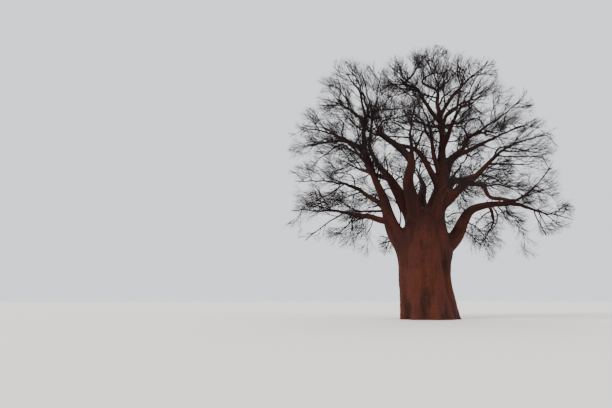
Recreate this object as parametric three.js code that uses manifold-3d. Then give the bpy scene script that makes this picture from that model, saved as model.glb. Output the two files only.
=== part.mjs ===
// A bare baobab in the dry season: a swollen, fluted trunk, its limbs and boughs, and at the end of
// each bough a spray of bare twigs. Millimetres, +Z up. The origin is the middle of the flat cut at
// ground level, +X is to the viewer's right and -Y is towards the viewer.
import * as THREE from "three";
import { mergeVertices } from "three/addons/utils/BufferGeometryUtils.js";
import Module from "manifold-3d";

const wasm = await Module();
wasm.setup();

// Driving sizes, in metres and degrees
const MM_PER_M = 1000;
const GAP = 0.0003; // kept between neighbouring pieces
const SEAM = 0.001; // millimetres within which two corners are one
const SIMPLEST = 5; // slivers narrower than this many millimetres are smoothed out of a fused spray
const CROWN_HEART = [0, 0, 10]; // twigs turn away from this point, so low ones droop and high ones rise

const TRUNK = {
  // Height above the ground, mean radius, and how far the middle leans to the right and to the back.
  stations: [
    { height: 0.0, radius: 2.14, right: 0.0, back: 0.0 },
    { height: 0.7, radius: 2.04, right: -0.04, back: 0.0 },
    { height: 1.4, radius: 1.96, right: -0.09, back: 0.0 },
    { height: 2.5, radius: 1.87, right: -0.19, back: 0.0 },
    { height: 3.6, radius: 1.89, right: -0.19, back: 0.0 },
    { height: 4.7, radius: 1.99, right: -0.17, back: 0.0 },
    { height: 5.6, radius: 1.9, right: -0.16, back: 0.05 },
    { height: 6.4, radius: 1.68, right: -0.1, back: 0.05 },
    { height: 7.2, radius: 1.34, right: -0.02, back: 0.05 },
    { height: 7.8, radius: 0.98, right: 0.0, back: 0.05 },
    { height: 8.2, radius: 0.5, right: 0.0, back: 0.05 },
  ],
  sides: 36,
  rings: 18,
  bulges: [
    { count: 2, depth: 0.02, turn: 20, twist: 6 },
    { count: 5, depth: 0.02, turn: 70, twist: -5 },
  ],
  // Deep furrows run up between the lobes: bearing at the ground and at the top, depth and half-width.
  furrows: [
    { foot: -35, top: -66, depth: 0.11, spread: 9 },
    { foot: -98, top: -104, depth: 0.05, spread: 8 },
    { foot: -150, top: -138, depth: 0.08, spread: 10 },
    { foot: 158, top: 170, depth: 0.07, spread: 9 },
    { foot: 112, top: 100, depth: 0.11, spread: 10 },
    { foot: 62, top: 70, depth: 0.06, spread: 8 },
    { foot: 14, top: 4, depth: 0.07, spread: 9 },
  ],
  furrowFade: { from: 0.62, to: 1, by: 0.75 }, // they fade towards the top, in shares of the height
  rootToes: { count: 9, depth: 0.04, height: 0.9, turn: -6 }, // the flare breaks into toes at the foot
};

const SMOOTHEST_STEP = 0.85; // longest straight piece of a bough
const FEWEST_STEPS = 3;
const CROOK = 0.016; // sideways wander of a bough, as a share of its length
const SWAYS = { aside: 9, above: 10, start: 6 }; // radians of that wander along a bough, and its start
const FLARE = 1.25; // how quickly a bough thins from its root, where its own row gives none
const ROUNDNESS = [
  { thickerThan: 0.7, sides: 10 },
  { thickerThan: 0.4, sides: 8 },
  { thickerThan: 0, sides: 6 },
];

// Each limb leaves its parent at a share of the parent's length, or from a point inside the trunk. It
// bends through its knees to its tip, and its radii are those of its root and its tip.
const LIMBS = [
  { name: "centre_limb", on: "trunk", root: [0.35, 0, 6.7], radii: [0.95, 0.2], flare: 1.7,
    knees: [[0.9, 0, 8.4], [1.16, 0, 9.7], [1.36, 0, 11.2], [1.5, 0, 13.0]], tip: [1.41, 0, 14.7] },
  { name: "left_limb", on: "trunk", root: [-0.6, 0, 4.3], radii: [1.1, 0.22], flare: 2.2,
    knees: [[-2.05, -0.1, 6.1], [-2.95, -0.3, 7.6], [-3.4, -0.5, 9.2], [-3.85, -0.8, 10.6]],
    tip: [-4.45, -1.1, 11.9] },
  { name: "right_low_limb", on: "trunk", root: [0.5, 0, 4.5], radii: [0.8, 0.19], flare: 1.5,
    knees: [[2.1, 0, 6.05], [2.85, 0, 7.1], [3.55, 0, 8.0], [4.6, -0.2, 8.4]], tip: [5.8, -0.6, 8.4] },
  { name: "inner_left_limb", on: "trunk", root: [-0.35, 0.3, 6.4], radii: [0.85, 0.2], flare: 1.3,
    knees: [[-1.2, 0.45, 8.1], [-1.75, 0.6, 9.4], [-2.5, 1.0, 10.6]], tip: [-3.3, 1.5, 11.8] },
  { name: "front_centre_bough", on: "trunk", root: [-0.5, -0.35, 6.5], radii: [0.68, 0.17], flare: 0.9,
    knees: [[-1.1, -0.75, 8.3], [-1.4, -1.3, 9.5], [-1.4, -2.1, 10.6]], tip: [-1.5, -3.2, 11.6] },
  { name: "right_middle_bough", on: "centre_limb", share: 0.17, radii: [0.46, 0.14],
    knees: [[2.8, -0.6, 9.7], [3.75, -1.0, 10.6]], tip: [4.8, -1.3, 11.6] },
  { name: "right_wavy_bough", on: "right_middle_bough", share: 0.55, radii: [0.19, 0.12],
    knees: [[3.85, -1.5, 9.6], [4.15, -2.0, 8.75]], tip: [5.2, -2.9, 8.3] },
  { name: "back_right_bough", on: "centre_limb", share: 0.3, radii: [0.42, 0.14],
    knees: [[2.3, 1.2, 10.2], [3.6, 2.6, 10.9]], tip: [4.7, 4.0, 11.45] },
  { name: "right_upper_bough", on: "centre_limb", share: 0.36, radii: [0.34, 0.12],
    knees: [[2.1, 0.45, 11.6], [3.8, 1.0, 12.95]], tip: [5.6, 1.6, 13.85] },
  { name: "arching_bough", on: "centre_limb", share: 0.35, radii: [0.3, 0.13],
    knees: [[0.3, -0.2, 11.3], [-0.75, -0.6, 12.5]], tip: [-2.2, -1.1, 12.8] },
  { name: "centre_left_bough", on: "centre_limb", share: 0.44, radii: [0.24, 0.13],
    knees: [[0.75, -0.4, 11.8]], tip: [0.5, -0.7, 13.3] },
  { name: "right_inner_bough", on: "centre_limb", share: 0.6, radii: [0.2, 0.12],
    knees: [[2.6, -0.8, 12.4], [2.9, -1.7, 13.0]], tip: [3.2, -2.5, 13.15] },
  { name: "back_top_bough", on: "centre_limb", share: 0.7, radii: [0.22, 0.12],
    knees: [[2.0, 1.6, 14.0]], tip: [2.7, 3.1, 14.9] },
  { name: "front_right_bough", on: "centre_limb", share: 0.74, radii: [0.22, 0.12],
    knees: [[1.75, -1.6, 13.9]], tip: [1.75, -3.0, 14.3] },
  { name: "right_crest_bough", on: "centre_limb", share: 0.96, radii: [0.16, 0.11],
    knees: [[2.1, 0.5, 15.7]], tip: [2.9, 1.0, 16.35] },
  { name: "top_left_bough", on: "centre_limb", share: 1, radii: [0.19, 0.13],
    knees: [[0.55, -0.3, 15.7]], tip: [-0.1, -0.7, 16.5] },
  { name: "top_bough", on: "centre_limb", share: 1, radii: [0.19, 0.13],
    knees: [[1.25, 0.2, 16.1]], tip: [1.35, 0.4, 17.2] },
  { name: "top_right_bough", on: "top_bough", share: 0.2, radii: [0.16, 0.12],
    knees: [[2.0, -0.3, 16.4]], tip: [2.7, -0.65, 17.2] },
  { name: "back_bough", on: "trunk", root: [0.0, 0.6, 6.6], radii: [0.6, 0.15],
    knees: [[0.1, 1.5, 8.6], [0.4, 2.8, 10.3]], tip: [0.55, 4.4, 11.4] },
  { name: "back_left_bough", on: "inner_left_limb", share: 0.42, radii: [0.34, 0.14],
    knees: [[-2.3, 2.1, 10.6], [-3.1, 3.3, 11.4]], tip: [-3.9, 4.4, 11.9] },
  { name: "back_low_bough", on: "trunk", root: [0.4, 0.7, 5.0], radii: [0.6, 0.14],
    knees: [[0.9, 2.4, 6.7], [1.2, 3.6, 7.6]], tip: [1.5, 4.8, 8.05] },
  { name: "front_low_bough", on: "trunk", root: [0.35, -0.4, 6.3], radii: [0.5, 0.14],
    knees: [[0.6, -1.5, 8.0], [0.75, -2.8, 8.9]], tip: [0.85, -4.0, 9.3] },
  { name: "front_left_bough", on: "left_limb", share: 0.62, radii: [0.24, 0.13],
    knees: [[-4.1, -1.9, 10.2]], tip: [-4.7, -3.2, 10.8] },
  { name: "left_low_bough", on: "left_limb", share: 0.4, radii: [0.28, 0.15],
    knees: [[-4.5, -1.2, 7.35]], tip: [-5.7, -1.9, 7.45] },
  { name: "left_middle_bough", on: "left_limb", share: 0.5, radii: [0.22, 0.13],
    knees: [[-4.5, 0.8, 9.5]], tip: [-5.4, 1.45, 10.1] },
  { name: "left_outer_bough", on: "left_limb", share: 1, radii: [0.21, 0.13],
    knees: [[-5.1, -1.4, 12.5]], tip: [-5.8, -1.7, 12.85] },
  { name: "left_upper_bough", on: "left_limb", share: 1, radii: [0.2, 0.14],
    knees: [[-4.65, -1.0, 13.3]], tip: [-4.4, -0.8, 14.7] },
  { name: "left_crest_bough", on: "left_upper_bough", share: 0.8, radii: [0.15, 0.11],
    knees: [[-4.8, 0.1, 15.2]], tip: [-5.4, 0.8, 16.0] },
  { name: "left_crown_bough", on: "inner_left_limb", share: 1, radii: [0.19, 0.13],
    knees: [[-3.85, 1.7, 13.1]], tip: [-3.8, 1.6, 14.5] },
  { name: "right_low_bough", on: "right_low_limb", share: 1, radii: [0.18, 0.13],
    knees: [[6.5, -0.85, 8.35]], tip: [7.1, -1.05, 8.1] },
  { name: "right_drooping_bough", on: "right_low_limb", share: 0.8, radii: [0.14, 0.11],
    knees: [[5.0, 0.3, 8.15]], tip: [5.2, 0.6, 7.65] },
];

// A spray's spindle, in shares of the reach from its root to its far end
const SPINDLE_MIDDLE = 0.48;
const SPINDLE_HALF_LENGTH = 0.58;
const STEM_END = 0.92;
const FIRST_PIECE = 0.6; // a stem's first piece runs straight on from its bough, and is shorter
const STEM_TURN = 0.5; // how far its next piece turns to the far end

// Each spray of twigs starts at its bough's tip, or from a point inside the trunk, and fills a spindle
// that runs to its far end. Its spread is the half-width of that.
const SPRAYS = [
  { name: "left_outer_twigs", on: "left_outer_bough", end: [-9.8, -3.0, 13.6], spread: 2.1 },
  { name: "left_upper_twigs", on: "left_upper_bough", end: [-5.9, -0.9, 19.4], spread: 2.2 },
  { name: "left_crest_twigs", on: "left_crest_bough", end: [-8.3, 2.6, 18.0], spread: 2.0 },
  { name: "left_crown_twigs", on: "left_crown_bough", end: [-2.7, 1.3, 19.9], spread: 2.2 },
  { name: "left_middle_twigs", on: "left_middle_bough", end: [-10.2, 3.4, 11.0], spread: 1.9 },
  { name: "left_low_twigs", on: "left_low_bough", end: [-10.3, -4.7, 7.4], spread: 2.2 },
  { name: "left_drooping_twigs", on: "trunk", root: [-1.7, 0.9, 6.0], radius: 0.13,
    end: [-4.2, 2.6, 5.0], spread: 1.7 },
  { name: "front_left_twigs", on: "front_left_bough", end: [-7.4, -7.3, 12.2], spread: 2.4 },
  { name: "front_centre_twigs", on: "front_centre_bough", end: [-2.3, -7.9, 13.9], spread: 2.4 },
  { name: "arching_twigs", on: "arching_bough", end: [-4.5, -3.6, 15.2], spread: 2.0 },
  { name: "centre_left_twigs", on: "centre_left_bough", end: [-1.3, -2.6, 16.6], spread: 2.0 },
  { name: "top_left_twigs", on: "top_left_bough", end: [-3.0, -2.2, 18.8], spread: 2.1 },
  { name: "top_twigs", on: "top_bough", end: [0.4, 0.4, 20.7], spread: 2.4 },
  { name: "top_right_twigs", on: "top_right_bough", end: [4.9, -1.7, 19.2], spread: 2.1 },
  { name: "right_crest_twigs", on: "right_crest_bough", end: [6.9, 3.3, 18.0], spread: 2.2 },
  { name: "front_right_twigs", on: "front_right_bough", end: [2.3, -7.6, 16.0], spread: 2.3 },
  { name: "right_inner_twigs", on: "right_inner_bough", end: [5.4, -6.5, 14.4], spread: 2.2 },
  { name: "right_upper_twigs", on: "right_upper_bough", end: [10.4, 3.3, 16.3], spread: 2.2 },
  { name: "right_middle_twigs", on: "right_middle_bough", end: [9.2, -2.4, 13.4], spread: 2.1 },
  { name: "right_wavy_twigs", on: "right_wavy_bough", end: [7.6, -5.5, 10.3], spread: 2.1 },
  { name: "right_low_twigs", on: "right_low_bough", end: [10.1, -2.0, 7.1], spread: 1.8 },
  { name: "right_drooping_twigs", on: "right_drooping_bough", end: [4.5, 1.5, 5.0], spread: 1.7 },
  { name: "front_low_twigs", on: "front_low_bough", end: [1.3, -8.3, 10.6], spread: 2.2 },
  { name: "back_left_twigs", on: "back_left_bough", end: [-6.5, 7.5, 14.0], spread: 2.5 },
  { name: "back_right_twigs", on: "back_right_bough", end: [7.7, 7.1, 13.0], spread: 2.5 },
  { name: "back_twigs", on: "back_bough", end: [0.4, 8.9, 13.8], spread: 2.5 },
  { name: "back_top_twigs", on: "back_top_bough", end: [4.0, 6.9, 17.6], spread: 2.4 },
  { name: "back_low_twigs", on: "back_low_bough", end: [2.4, 8.7, 9.0], spread: 2.3 },
];

// How twigs branch. The first entry of each list is for the stem, the next for its twigs, and so on.
const GROWTH = {
  pieces: [4, 2, 1], // straight pieces in each
  twigs: [8, 2], // twigs that each bears
  sides: [4, 3, 3],
  angle: [56, 46], // between a twig and what bears it
  angleRange: 24, // how far that varies
  turnRange: 50, // how far a twig strays from the golden angle round what bears it
  length: [0.64, 0.6], // of a twig, as a share of what bears it
  lengthAtRoot: 1.2, // times that for a twig near the root of what bears it
  lengthAtTip: 0.75, // and near its tip
  pull: [0.25, 0.3, 0.3], // how strongly each piece turns outwards
  crook: [0.16, 0.2, 0.2], // how much each piece strays
  slimness: [0.5, 0.5], // root radius of a twig, as a share of that of what bears it there
  thickest: [0.13, 0.06, 0.032], // root radius in metres, where what bears it is no thinner
  thinning: [0.25, 0.5, 0.45], // tip radius as a share of the root's
  firstShare: 0.08, // no twig nearer the root of what bears it than this
  lastShare: 0.98,
  shortest: 0.45, // a twig stopped before this share of its length is skipped
};
const GOLDEN_SHARE = 0.618034;
const GOLDEN_ANGLE = 137.508;
const FREE_WAY = 0.003; // metres kept between a twig and any limb
const SEEDS = { perSpray: 37, perBearer: 31, perTwig: 7, most: 65521 };

const UP = new THREE.Vector3(0, 0, 1);
const vector = (p) => new THREE.Vector3(...p);
const toRadians = THREE.MathUtils.degToRad;
const mix = THREE.MathUtils.lerp;

// A repeatable chance from 0 to 1 for one draw of one twig.
function chance(seed, draw) {
  const wave = Math.sin(seed * 12.9898 + draw * 78.233) * 43758.5453;
  return wave - Math.floor(wave);
}

// A small sideways turn for one piece of a twig.
function strayOf(seed, piece) {
  return vector([3, 4, 5].map((draw) => chance(seed, draw + 3 * piece) - 0.5));
}

// Smooth value of one column of the trunk's stations at a height.
function atHeight(column, height) {
  const rows = TRUNK.stations;
  const last = rows.length - 1;
  let i = 0;
  while (i < last - 1 && height > rows[i + 1].height) i += 1;
  const slope = (k) => {
    const [a, b] = [Math.max(k - 1, 0), Math.min(k + 1, last)];
    return (rows[b][column] - rows[a][column]) / (rows[b].height - rows[a].height);
  };
  const span = rows[i + 1].height - rows[i].height;
  const s = (height - rows[i].height) / span;
  return (
    (1 + 2 * s) * (1 - s) ** 2 * rows[i][column] +
    s * (1 - s) ** 2 * span * slope(i) +
    s * s * (3 - 2 * s) * rows[i + 1][column] +
    s * s * (s - 1) * span * slope(i + 1)
  );
}

const trunkHeight = TRUNK.stations.at(-1).height;

// The trunk's radius at a height and a bearing from +X, with its bulges, furrows and toes.
function trunkRadius(height, bearing) {
  const share = height / trunkHeight;
  let swell = 1;
  for (const { count, depth, turn, twist } of TRUNK.bulges) {
    swell += depth * Math.cos(count * (bearing - toRadians(turn + twist * height)));
  }
  const { from, to, by } = TRUNK.furrowFade;
  const fade = 1 - by * THREE.MathUtils.smoothstep(share, from, to);
  for (const { foot, top, depth, spread } of TRUNK.furrows) {
    const off = bearing - toRadians(mix(foot, top, share));
    const away = Math.atan2(Math.sin(off), Math.cos(off)) / toRadians(spread);
    swell -= depth * fade * Math.exp(-away * away);
  }
  const toes = TRUNK.rootToes;
  const round = toes.count * (bearing - toRadians(toes.turn));
  swell += toes.depth * Math.exp(-height / toes.height) * Math.cos(round);
  return atHeight("radius", height) * swell;
}

// A closed mesh as a solid that booleans can work on.
function solidOf(geometry) {
  geometry.deleteAttribute("normal");
  geometry.deleteAttribute("uv");
  const merged = mergeVertices(geometry, SEAM);
  return new wasm.Manifold(
    new wasm.Mesh({
      numProp: 3,
      vertProperties: merged.attributes.position.array,
      triVerts: new Uint32Array(merged.index.array),
    }),
  );
}

// The trunk, grown by a clearance where a neighbour is to be cut clear of it.
function trunkSolid(clearance = 0) {
  const geometry = new THREE.CylinderGeometry(1, 1, 1, TRUNK.sides, TRUNK.rings);
  const place = geometry.attributes.position;
  for (let i = 0; i < place.count; i += 1) {
    const height = (place.getY(i) + 0.5) * trunkHeight;
    const bearing = Math.atan2(-place.getZ(i), place.getX(i));
    const onSkin = Math.hypot(place.getX(i), place.getZ(i)) > 0.5;
    const radius = onSkin ? trunkRadius(height, bearing) + clearance : 0;
    place.setXYZ(
      i,
      (atHeight("right", height) + radius * Math.cos(bearing)) * MM_PER_M,
      (atHeight("back", height) + radius * Math.sin(bearing)) * MM_PER_M,
      (height + (place.getY(i) > 0 ? clearance : 0)) * MM_PER_M,
    );
  }
  return solidOf(geometry);
}

// A tapering rod through a row of points, each with its radius, as a solid. It comes to a point where
// it is pointed, and a clearance grows it all round and at both ends.
function rod(points, radii, sides, { pointed = false, clearance = 0 } = {}) {
  const steps = points.length - 1;
  const geometry = new THREE.CylinderGeometry(pointed ? 0 : 1, 1, 1, sides, steps);
  const along = points.map((p, i) =>
    points[Math.min(i + 1, steps)].clone().sub(points[Math.max(i - 1, 0)]).normalize(),
  );
  const across = [];
  let previous = UP.clone().cross(along[0]).normalize();
  for (const direction of along) {
    previous = previous.clone().addScaledVector(direction, -previous.dot(direction)).normalize();
    across.push(previous);
  }
  const place = geometry.attributes.position;
  for (let i = 0; i < place.count; i += 1) {
    const step = Math.round((place.getY(i) + 0.5) * steps);
    const spread = Math.hypot(place.getX(i), place.getZ(i));
    const scale = spread > 0 ? (radii[step] + clearance) / spread : 0;
    const up = along[step].clone().cross(across[step]);
    const past = step === 0 ? -clearance : step === steps ? clearance : 0;
    const p = points[step]
      .clone()
      .addScaledVector(along[step], past)
      .addScaledVector(across[step], place.getZ(i) * scale)
      .addScaledVector(up, place.getX(i) * scale)
      .multiplyScalar(MM_PER_M);
    place.setXYZ(i, p.x, p.y, p.z);
  }
  return solidOf(geometry);
}

// A bough's centreline and radii: a smooth curve from its root through its knees, with a little wander.
function routeOf(limb, seed, parents) {
  const root = limb.root ? vector(limb.root) : pointAlong(parents.get(limb.on).points, limb.share);
  const tip = vector(limb.tip);
  const curve = new THREE.CatmullRomCurve3([root, ...limb.knees.map(vector), tip], false, "centripetal");
  const length = curve.getLength();
  const steps = Math.max(FEWEST_STEPS, Math.ceil(length / SMOOTHEST_STEP));
  const aside = UP.clone().cross(tip.clone().sub(root)).normalize();
  const above = tip.clone().sub(root).normalize().cross(aside);
  const points = curve.getSpacedPoints(steps).map((p, i) => {
    const t = i / steps;
    const sway = CROOK * length * Math.sin(Math.PI * t);
    p.addScaledVector(aside, sway * Math.sin(SWAYS.aside * t + SWAYS.start * chance(seed, 1)));
    return p.addScaledVector(above, sway * Math.sin(SWAYS.above * t + SWAYS.start * chance(seed, 2)));
  });
  const [thick, thin] = limb.radii;
  const radii = points.map((_, i) => thin + (thick - thin) * (1 - i / steps) ** (limb.flare ?? FLARE));
  return { points, radii };
}

// The point at a share of the way along a row of points, counted in pieces.
function pointAlong(points, share) {
  const at = share * (points.length - 1);
  const i = Math.min(Math.floor(at), points.length - 2);
  return points[i].clone().lerp(points[i + 1], at - i);
}

function directionAlong(points, share) {
  const i = Math.min(Math.floor(share * (points.length - 1)), points.length - 2);
  return points[i + 1].clone().sub(points[i]).normalize();
}

function radiusAlong(radii, share) {
  const at = share * (radii.length - 1);
  const i = Math.min(Math.floor(at), radii.length - 2);
  return mix(radii[i], radii[i + 1], at - i);
}

// Distance from a point to the line between two others, and how far along the nearest place is.
function distanceToLine(p, a, b) {
  const line = b.clone().sub(a);
  const t = THREE.MathUtils.clamp(p.clone().sub(a).dot(line) / line.lengthSq(), 0, 1);
  return [p.distanceTo(a.clone().addScaledVector(line, t)), t];
}

// How deep a point lies in a spray's spindle: 0 at its middle and 1 at its skin.
function depthIn(spray, p) {
  const off = p.clone().sub(spray.middle);
  const forward = off.dot(spray.forward);
  const sideways = Math.sqrt(Math.max(off.lengthSq() - forward * forward, 0));
  return Math.hypot(forward / spray.halfLength, sideways / spray.spread);
}

// True where a twig of this radius may pass: inside its own spray's space and clear of every limb.
function isFree(p, radius, spray, sprays, limbs) {
  const own = depthIn(spray, p);
  if (own > 1) return false;
  const room = (2 * (radius + FREE_WAY)) / Math.min(spray.spread, spray.halfLength);
  if (sprays.some((other) => other !== spray && depthIn(other, p) < own + room)) return false;
  for (const { points, radii } of limbs.values()) {
    for (let i = 0; i + 1 < points.length; i += 1) {
      const [distance, t] = distanceToLine(p, points[i], points[i + 1]);
      if (distance < mix(radii[i], radii[i + 1], t) + radius + FREE_WAY) return false;
    }
  }
  return true;
}

// One twig, piece by piece, until it has its length or is stopped.
function growTwig(from, heading, length, rootRadius, level, seed, mayPass) {
  const pieces = GROWTH.pieces[level];
  const points = [from];
  const direction = heading.clone();
  for (let i = 0; i < pieces; i += 1) {
    const last = points[i];
    const outward = last.clone().sub(vector(CROWN_HEART)).normalize();
    direction.addScaledVector(outward, GROWTH.pull[level] / pieces);
    direction.addScaledVector(strayOf(seed, i), 2 * GROWTH.crook[level]).normalize();
    const next = last.clone().addScaledVector(direction, length / pieces);
    if (!mayPass(next)) break;
    points.push(next);
  }
  const reached = points.length - 1;
  if (reached < Math.max(1, GROWTH.shortest * pieces)) return null;
  const radii = points.map((_, i) => rootRadius * mix(1, GROWTH.thinning[level], i / reached));
  return { points, radii, seed, level, length: (length * reached) / pieces };
}

// The twigs that one stem or twig bears, spaced by the golden share and turned by the golden angle.
function growSideTwigs(bearer, mayPass) {
  const level = bearer.level + 1;
  const grown = [];
  for (let i = 0; i < GROWTH.twigs[bearer.level]; i += 1) {
    const seed = (bearer.seed * SEEDS.perBearer + (i + 1) * SEEDS.perTwig) % SEEDS.most;
    const place = ((i + 1) * GOLDEN_SHARE + chance(bearer.seed, 1)) % 1;
    const share = mix(GROWTH.firstShare, GROWTH.lastShare, place);
    const from = pointAlong(bearer.points, share);
    const along = directionAlong(bearer.points, share);
    const aside = UP.clone().cross(along).normalize();
    aside.applyAxisAngle(along, toRadians(i * GOLDEN_ANGLE + GROWTH.turnRange * chance(seed, 1)));
    const angle = toRadians(GROWTH.angle[bearer.level] + GROWTH.angleRange * (chance(seed, 2) - 0.5));
    const heading = along.multiplyScalar(Math.cos(angle)).addScaledVector(aside, Math.sin(angle));
    const longer = mix(GROWTH.lengthAtRoot, GROWTH.lengthAtTip, share);
    const length = bearer.length * GROWTH.length[bearer.level] * longer;
    const slim = GROWTH.slimness[bearer.level] * radiusAlong(bearer.radii, share);
    const radius = Math.min(slim, GROWTH.thickest[level]);
    const twig = growTwig(from, heading, length, radius, level, seed, (p) => mayPass(p, radius));
    if (twig) grown.push(twig);
  }
  return grown;
}

// The whole spray: its stem, from just past the bough's tip to near the far end, and all it bears.
function growSpray(spray, index, sprays, limbs) {
  const mayPass = (p, radius) => isFree(p, radius, spray, sprays, limbs);
  const { start, along, reach } = spray;
  const pieces = GROWTH.pieces[0];
  const seed = (index + 1) * SEEDS.perSpray;
  const points = [start.clone().addScaledVector(along, spray.root ? 0 : GAP)];
  const direction = along.clone();
  const target = start.clone().addScaledVector(reach, STEM_END);
  for (let i = 0; i < pieces; i += 1) {
    const toTarget = target.clone().sub(points[i]);
    const step = toTarget.length() / (pieces - i);
    if (i > 0) {
      direction.lerp(toTarget.normalize(), STEM_TURN + (1 - STEM_TURN) * (i / pieces));
      direction.addScaledVector(strayOf(seed, i), GROWTH.crook[0]).normalize();
    }
    points.push(points[i].clone().addScaledVector(direction, i > 0 ? step : step * FIRST_PIECE));
  }
  const tipRadius = GROWTH.thickest[0] * GROWTH.thinning[0];
  const radii = points.map((_, i) => mix(spray.radius, tipRadius, i / pieces));
  const stem = { points, radii, seed, level: 0, length: reach.length() };
  const twigs = [stem];
  for (let i = 0; i < twigs.length; i += 1) {
    if (twigs[i].level < GROWTH.twigs.length) twigs.push(...growSideTwigs(twigs[i], mayPass));
  }
  return twigs;
}

// Where a spray's stem starts and points, and the spindle it keeps to.
function placeSpray(spray, limbs) {
  const end = vector(spray.end);
  let start;
  let along;
  let { radius } = spray;
  if (spray.root) {
    start = vector(spray.root);
    along = end.clone().sub(start).normalize();
  } else {
    const { points, radii } = limbs.get(spray.on);
    start = points.at(-1);
    along = start.clone().sub(points.at(-2)).normalize();
    radius = radii.at(-1);
  }
  const reach = end.clone().sub(start);
  const middle = start.clone().addScaledVector(reach, SPINDLE_MIDDLE);
  const halfLength = SPINDLE_HALF_LENGTH * reach.length();
  const forward = reach.clone().normalize();
  return { ...spray, start, along, radius, reach, middle, forward, halfLength };
}

// A solid as a named mesh of the scene.
function addMesh(group, name, solid, material) {
  const { numProp, vertProperties, triVerts } = solid.getMesh();
  const geometry = new THREE.BufferGeometry();
  const position = new Float32Array((vertProperties.length / numProp) * 3);
  for (let i = 0; i < position.length / 3; i += 1) {
    position.set(vertProperties.subarray(i * numProp, i * numProp + 3), i * 3);
  }
  geometry.setAttribute("position", new THREE.BufferAttribute(position, 3));
  geometry.setIndex(new THREE.BufferAttribute(triVerts, 1));
  geometry.computeVertexNormals();
  const mesh = new THREE.Mesh(geometry, material);
  mesh.name = name;
  group.add(mesh);
}

const largestBody = (solid) => solid.decompose().sort((a, b) => b.volume() - a.volume())[0];

// The finish of each kind of wood
const bark = new THREE.MeshStandardMaterial({ color: 0x6b4a41, roughness: 0.85, metalness: 0 });
const boughBark = new THREE.MeshStandardMaterial({ color: 0x5a3c34, roughness: 0.88, metalness: 0 });
const twigBark = new THREE.MeshStandardMaterial({ color: 0x43302a, roughness: 0.9, metalness: 0 });

const baobab = new THREE.Group();

// The trunk, then each limb, cut clear of the trunk and of every limb before it
const routes = new Map();
LIMBS.forEach((limb, i) => routes.set(limb.name, routeOf(limb, i + 1, routes)));
addMesh(baobab, "trunk", trunkSolid(), bark);
const clearances = [trunkSolid(GAP)];
for (const [name, { points, radii }] of routes) {
  const { sides } = ROUNDNESS.find(({ thickerThan }) => radii[0] > thickerThan);
  let solid = rod(points, radii, sides);
  for (const neighbour of clearances) solid = solid.subtract(neighbour);
  addMesh(baobab, name, largestBody(solid), boughBark);
  clearances.push(rod(points, radii, sides, { clearance: GAP }));
}

// The sprays of twigs, each one fused solid, and cut clear of the limbs where it grows from the trunk
const sprays = SPRAYS.map((spray) => placeSpray(spray, routes));
sprays.forEach((spray, index) => {
  const twigs = growSpray(spray, index, sprays, routes);
  const rods = twigs.map((t) =>
    rod(t.points, t.radii, GROWTH.sides[t.level], { pointed: t.level > 0 }),
  );
  let fused = wasm.Manifold.union(rods).simplify(SIMPLEST);
  if (spray.root) {
    for (const neighbour of clearances) fused = fused.subtract(neighbour);
  }
  addMesh(baobab, spray.name, largestBody(fused), twigBark);
});

export default baobab;
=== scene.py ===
"""A bare baobab in the dry season: trunk and limbs in one folded bark, and crooked twigs grown by a rule.

Metres, +Z up. The origin is the middle of the flat cut at ground level, +X is to the viewer's right and
-Y is towards the viewer. Limbs and sprays have the names of their solids. Four sprays are slimmer than
theirs, and the side boughs have no solids.
"""

import math
from dataclasses import dataclass

import bmesh
import bpy
import numpy as np
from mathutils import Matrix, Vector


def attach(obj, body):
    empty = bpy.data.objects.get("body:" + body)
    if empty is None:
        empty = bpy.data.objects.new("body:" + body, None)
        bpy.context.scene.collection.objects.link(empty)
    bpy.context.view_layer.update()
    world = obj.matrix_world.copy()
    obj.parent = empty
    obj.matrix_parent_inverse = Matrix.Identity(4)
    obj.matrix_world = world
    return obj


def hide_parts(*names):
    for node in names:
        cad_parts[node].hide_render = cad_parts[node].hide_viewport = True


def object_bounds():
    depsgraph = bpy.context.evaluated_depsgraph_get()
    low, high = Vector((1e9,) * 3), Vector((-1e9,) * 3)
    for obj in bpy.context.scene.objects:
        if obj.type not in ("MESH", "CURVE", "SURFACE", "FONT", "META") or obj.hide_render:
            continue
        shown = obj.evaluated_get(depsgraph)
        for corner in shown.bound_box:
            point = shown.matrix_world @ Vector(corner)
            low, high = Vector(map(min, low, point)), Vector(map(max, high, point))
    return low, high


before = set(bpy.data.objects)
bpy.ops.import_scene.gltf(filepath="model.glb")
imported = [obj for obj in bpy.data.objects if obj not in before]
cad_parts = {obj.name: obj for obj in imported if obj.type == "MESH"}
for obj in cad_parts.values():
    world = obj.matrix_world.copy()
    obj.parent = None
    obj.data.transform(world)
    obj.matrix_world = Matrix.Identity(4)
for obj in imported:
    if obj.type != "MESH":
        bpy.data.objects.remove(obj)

cad_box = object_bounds()

# Photograph's camera: a 35 mm lens held at eye height, 44 m from the trunk and tilted up
CAMERA_PLACE = (-8.92, -44.0, 1.45)
CAMERA_TILT = 9.07
LENS_MM = 35.0
SENSOR_MM = 36.0
CLIP_END = 2000.0

# Trunk: height above the ground, mean radius, and how far the middle leans to the right and to the back
TRUNK_STATIONS = np.array([
    (0.0, 2.14, 0.0, 0.0),
    (0.7, 2.04, -0.04, 0.0),
    (1.4, 1.96, -0.09, 0.0),
    (2.5, 1.87, -0.19, 0.0),
    (3.6, 1.89, -0.19, 0.0),
    (4.7, 1.99, -0.17, 0.0),
    (5.6, 1.9, -0.16, 0.05),
    (6.4, 1.68, -0.1, 0.05),
    (7.2, 1.34, -0.02, 0.05),
    (7.8, 0.98, 0.0, 0.05),
    (8.2, 0.5, 0.0, 0.05),
])
RADIUS, RIGHT, BACK = 1, 2, 3
RING_STEP = 0.1  # metres between the rings of the trunk's column, and degrees between points on a ring
BEARING_STEP = 3

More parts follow.
